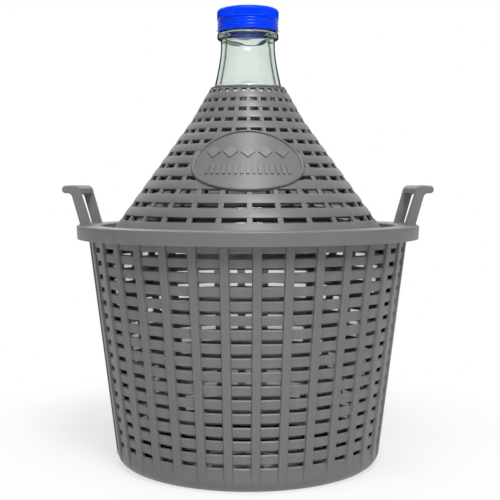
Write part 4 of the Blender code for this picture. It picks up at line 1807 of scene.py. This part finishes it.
@dataclass
class Studio:
    """The plain white studio, its lamps and the camera.

    Seen through glass the floor carries a painted shadow: grey near the object, brighter far off. The
    sides and flags dim the world to the left and right, as a light and as it is seen in gloss and
    glass.
    """

    white: Colour = (1.0, 1.0, 1.0, 1.0)
    floor_half: float = 6.0
    floor_colour: Colour = (0.86, 0.86, 0.86, 1.0)
    floor_roughness: float = 0.9
    floor_specular: float = 0.1
    shadow_shift: Corner = (0.0, -0.12, 0.0)
    shadow_reach: float = 0.32
    shadow_core: float = 0.50
    shadow_lift: float = 0.68
    # Through glass the floor is a painted shadow near the object, fading out far off.
    painted_shadow_fade_start: float = 0.30
    painted_shadow_fade_end: float = 1.10
    painted_shadow_grey: float = 0.26
    floor_through_glass: float = 0.80
    world_light: float = 0.37
    side_start: float = 0.30
    side_end: float = 0.75
    side_light: float = 0.10
    backdrop_low: float = 0.094
    backdrop_high: float = 0.104
    backdrop_grey: float = 0.25
    flag_start: float = 0.56
    flag_end: float = 0.78
    flag_light: float = 0.38
    lamp_aim: Corner = (0.0, 0.0, 0.18)
    camera_place: Corner = (0.0, -0.896, 0.2386)
    camera_pitch: float = math.radians(86.45)
    lens: float = 74.2
    sensor: float = 36.0
    shift: float = 0.0042
    near_clip: float = 0.01

    def floor(self) -> bpy.types.Object:
        """The floor.

        Returns:
            A plane that shows the object's shadow to the camera and in gloss and is white round it,
            and that, seen through glass, carries a painted shadow: grey near the object.
        """
        bm = bmesh.new()
        bmesh.ops.create_grid(bm, x_segments=1, y_segments=1, size=self.floor_half)
        mesh = bpy.data.meshes.new("studio_floor")
        bm.to_mesh(mesh)
        bm.free()
        material = bpy.data.materials.new("studio_white")
        material.use_nodes = True
        tree = material.node_tree
        graph = Graph(tree)
        shader = tree.nodes["Principled BSDF"]
        shader.inputs["Base Color"].default_value = self.floor_colour
        shader.inputs["Roughness"].default_value = self.floor_roughness
        shader.inputs["Specular IOR Level"].default_value = self.floor_specular
        texture = graph.add("ShaderNodeTexCoord")
        place = graph.add(
            "ShaderNodeMapping", {"Vector": texture.outputs["Object"], "Location": self.shadow_shift}
        )
        length = graph.add("ShaderNodeVectorMath", {0: place.outputs[0]}, operation="LENGTH")
        reach = length.outputs["Value"]
        core = self.shadow_reach * self.shadow_core
        far = graph.ramp(reach, core, self.shadow_reach, self.shadow_lift, 1.0)
        rays = graph.add("ShaderNodeLightPath")
        # Through glass the floor glows grey near the object, a painted shadow, and brighter far off.
        behind = graph.ramp(reach, self.painted_shadow_fade_start, self.painted_shadow_fade_end, self.painted_shadow_grey, self.floor_through_glass)
        seen = graph.math("MAXIMUM", rays.outputs["Is Camera Ray"], rays.outputs["Is Glossy Ray"])
        direct = graph.math("MULTIPLY", far, seen)
        glow = graph.add("ShaderNodeEmission", {"Color": self.white, "Strength": 1.0})
        lit = graph.add("ShaderNodeMixShader", {0: direct, 1: shader.outputs[0], 2: glow.outputs[0]})
        floor_through_glass = graph.add("ShaderNodeEmission", {"Color": self.white, "Strength": behind})
        through = rays.outputs["Is Transmission Ray"]
        mixed = graph.add("ShaderNodeMixShader", {0: through, 1: lit.outputs[0], 2: floor_through_glass.outputs[0]})
        tree.links.new(mixed.outputs[0], tree.nodes["Material Output"].inputs["Surface"])
        mesh.materials.append(material)
        plane = bpy.data.objects.new("studio_floor", mesh)
        bpy.context.scene.collection.objects.link(plane)
        return plane

    def world(self) -> None:
        """White to the camera; in gloss and glass grey low down and dim at both sides."""
        world = bpy.data.worlds.new("studio_world")
        world.use_nodes = True
        bpy.context.scene.world = world
        tree = world.node_tree
        graph = Graph(tree)
        direction = graph.add("ShaderNodeTexCoord").outputs["Generated"]
        parts = graph.add("ShaderNodeSeparateXYZ", {0: direction})
        side = graph.math("ABSOLUTE", parts.outputs["X"])
        fade = graph.ramp(side, self.side_start, self.side_end, 1.0, self.side_light)
        rays = graph.add("ShaderNodeLightPath")
        up = parts.outputs["Z"]
        high = graph.ramp(up, self.backdrop_low, self.backdrop_high, self.backdrop_grey, 1.0)
        flags = graph.ramp(side, self.flag_start, self.flag_end, 1.0, self.flag_light)
        backdrop = graph.math("MULTIPLY", high, flags)
        room = graph.math("MULTIPLY", fade, self.world_light)
        glossy, through = rays.outputs["Is Glossy Ray"], rays.outputs["Is Transmission Ray"]
        other = graph.mix(graph.math("MAXIMUM", glossy, through), room, backdrop)
        strength = graph.math("MAXIMUM", other, rays.outputs["Is Camera Ray"])
        shader = tree.nodes["Background"]
        shader.inputs["Color"].default_value = self.white
        tree.links.new(strength, shader.inputs["Strength"])

    def lamp(self, lamp: Lamp) -> bpy.types.Object:
        """Hang a lamp that faces the object's middle.

        Args:
            lamp: the lamp.

        Returns:
            Its object.
        """
        light = bpy.data.lights.new(lamp.name, "AREA")
        light.shape = "RECTANGLE"
        light.size = lamp.width
        light.size_y = lamp.height
        light.energy = lamp.power
        hung = bpy.data.objects.new(lamp.name, light)
        hung.location = lamp.place
        aim = Vector(self.lamp_aim) - Vector(lamp.place)
        hung.rotation_euler = aim.to_track_quat("-Z", "Y").to_euler()
        bpy.context.scene.collection.objects.link(hung)
        return hung

    def camera(self) -> None:
        """The camera of the picture."""
        data = bpy.data.cameras.new("studio_camera")
        data.lens = self.lens
        data.sensor_width = self.sensor
        data.shift_x = self.shift
        data.clip_start = self.near_clip
        camera = bpy.data.objects.new("studio_camera", data)
        camera.location = self.camera_place
        camera.rotation_euler = (self.camera_pitch, 0.0, 0.0)
        bpy.context.scene.collection.objects.link(camera)
        bpy.context.scene.camera = camera

    def build(self) -> None:
        """Set up the studio."""
        bpy.context.scene.view_settings.view_transform = "Standard"
        self.world()
        glint = self.lamp(GLINT_LAMP)
        glint.visible_diffuse = False
        self.floor()
        self.lamp(KEY_LAMP)
        self.lamp(BACK_LAMP)
        self.lamp(TOP_LAMP)
        self.camera()
        LOG.info("studio set")


@dataclass
class Demijohn:
    """The whole object."""

    basket: Basket
    cover: Cover
    bottle: Bottle
    cap: ScrewCap
    liner: CapLiner

    def build(self) -> list[bpy.types.Object]:
        """Build and dress every piece.

        Returns:
            All pieces.
        """
        effects = Effects()
        pieces = self.basket.build(GREY_BASKET.material(effects))
        pieces += self.cover.build(GREY_COVER.material(effects))
        pieces += self.bottle.build(GREEN_GLASS.material())
        pieces += self.cap.build(BLUE_CAP.material(effects))
        pieces += self.liner.build(BLUE_LINER.material(effects))
        return pieces


def main() -> None:
    """Dress the demijohn and set it in the studio."""
    logging.basicConfig(level=logging.INFO, format="%(name)s: %(message)s")
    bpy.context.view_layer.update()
    demijohn = Demijohn(Basket(), Cover(), Bottle(), ScrewCap(), CapLiner())
    pieces = demijohn.build()
    Studio().build()
    LOG.info("%d pieces dressed", len(pieces))


if __name__ == "__main__":
    main()
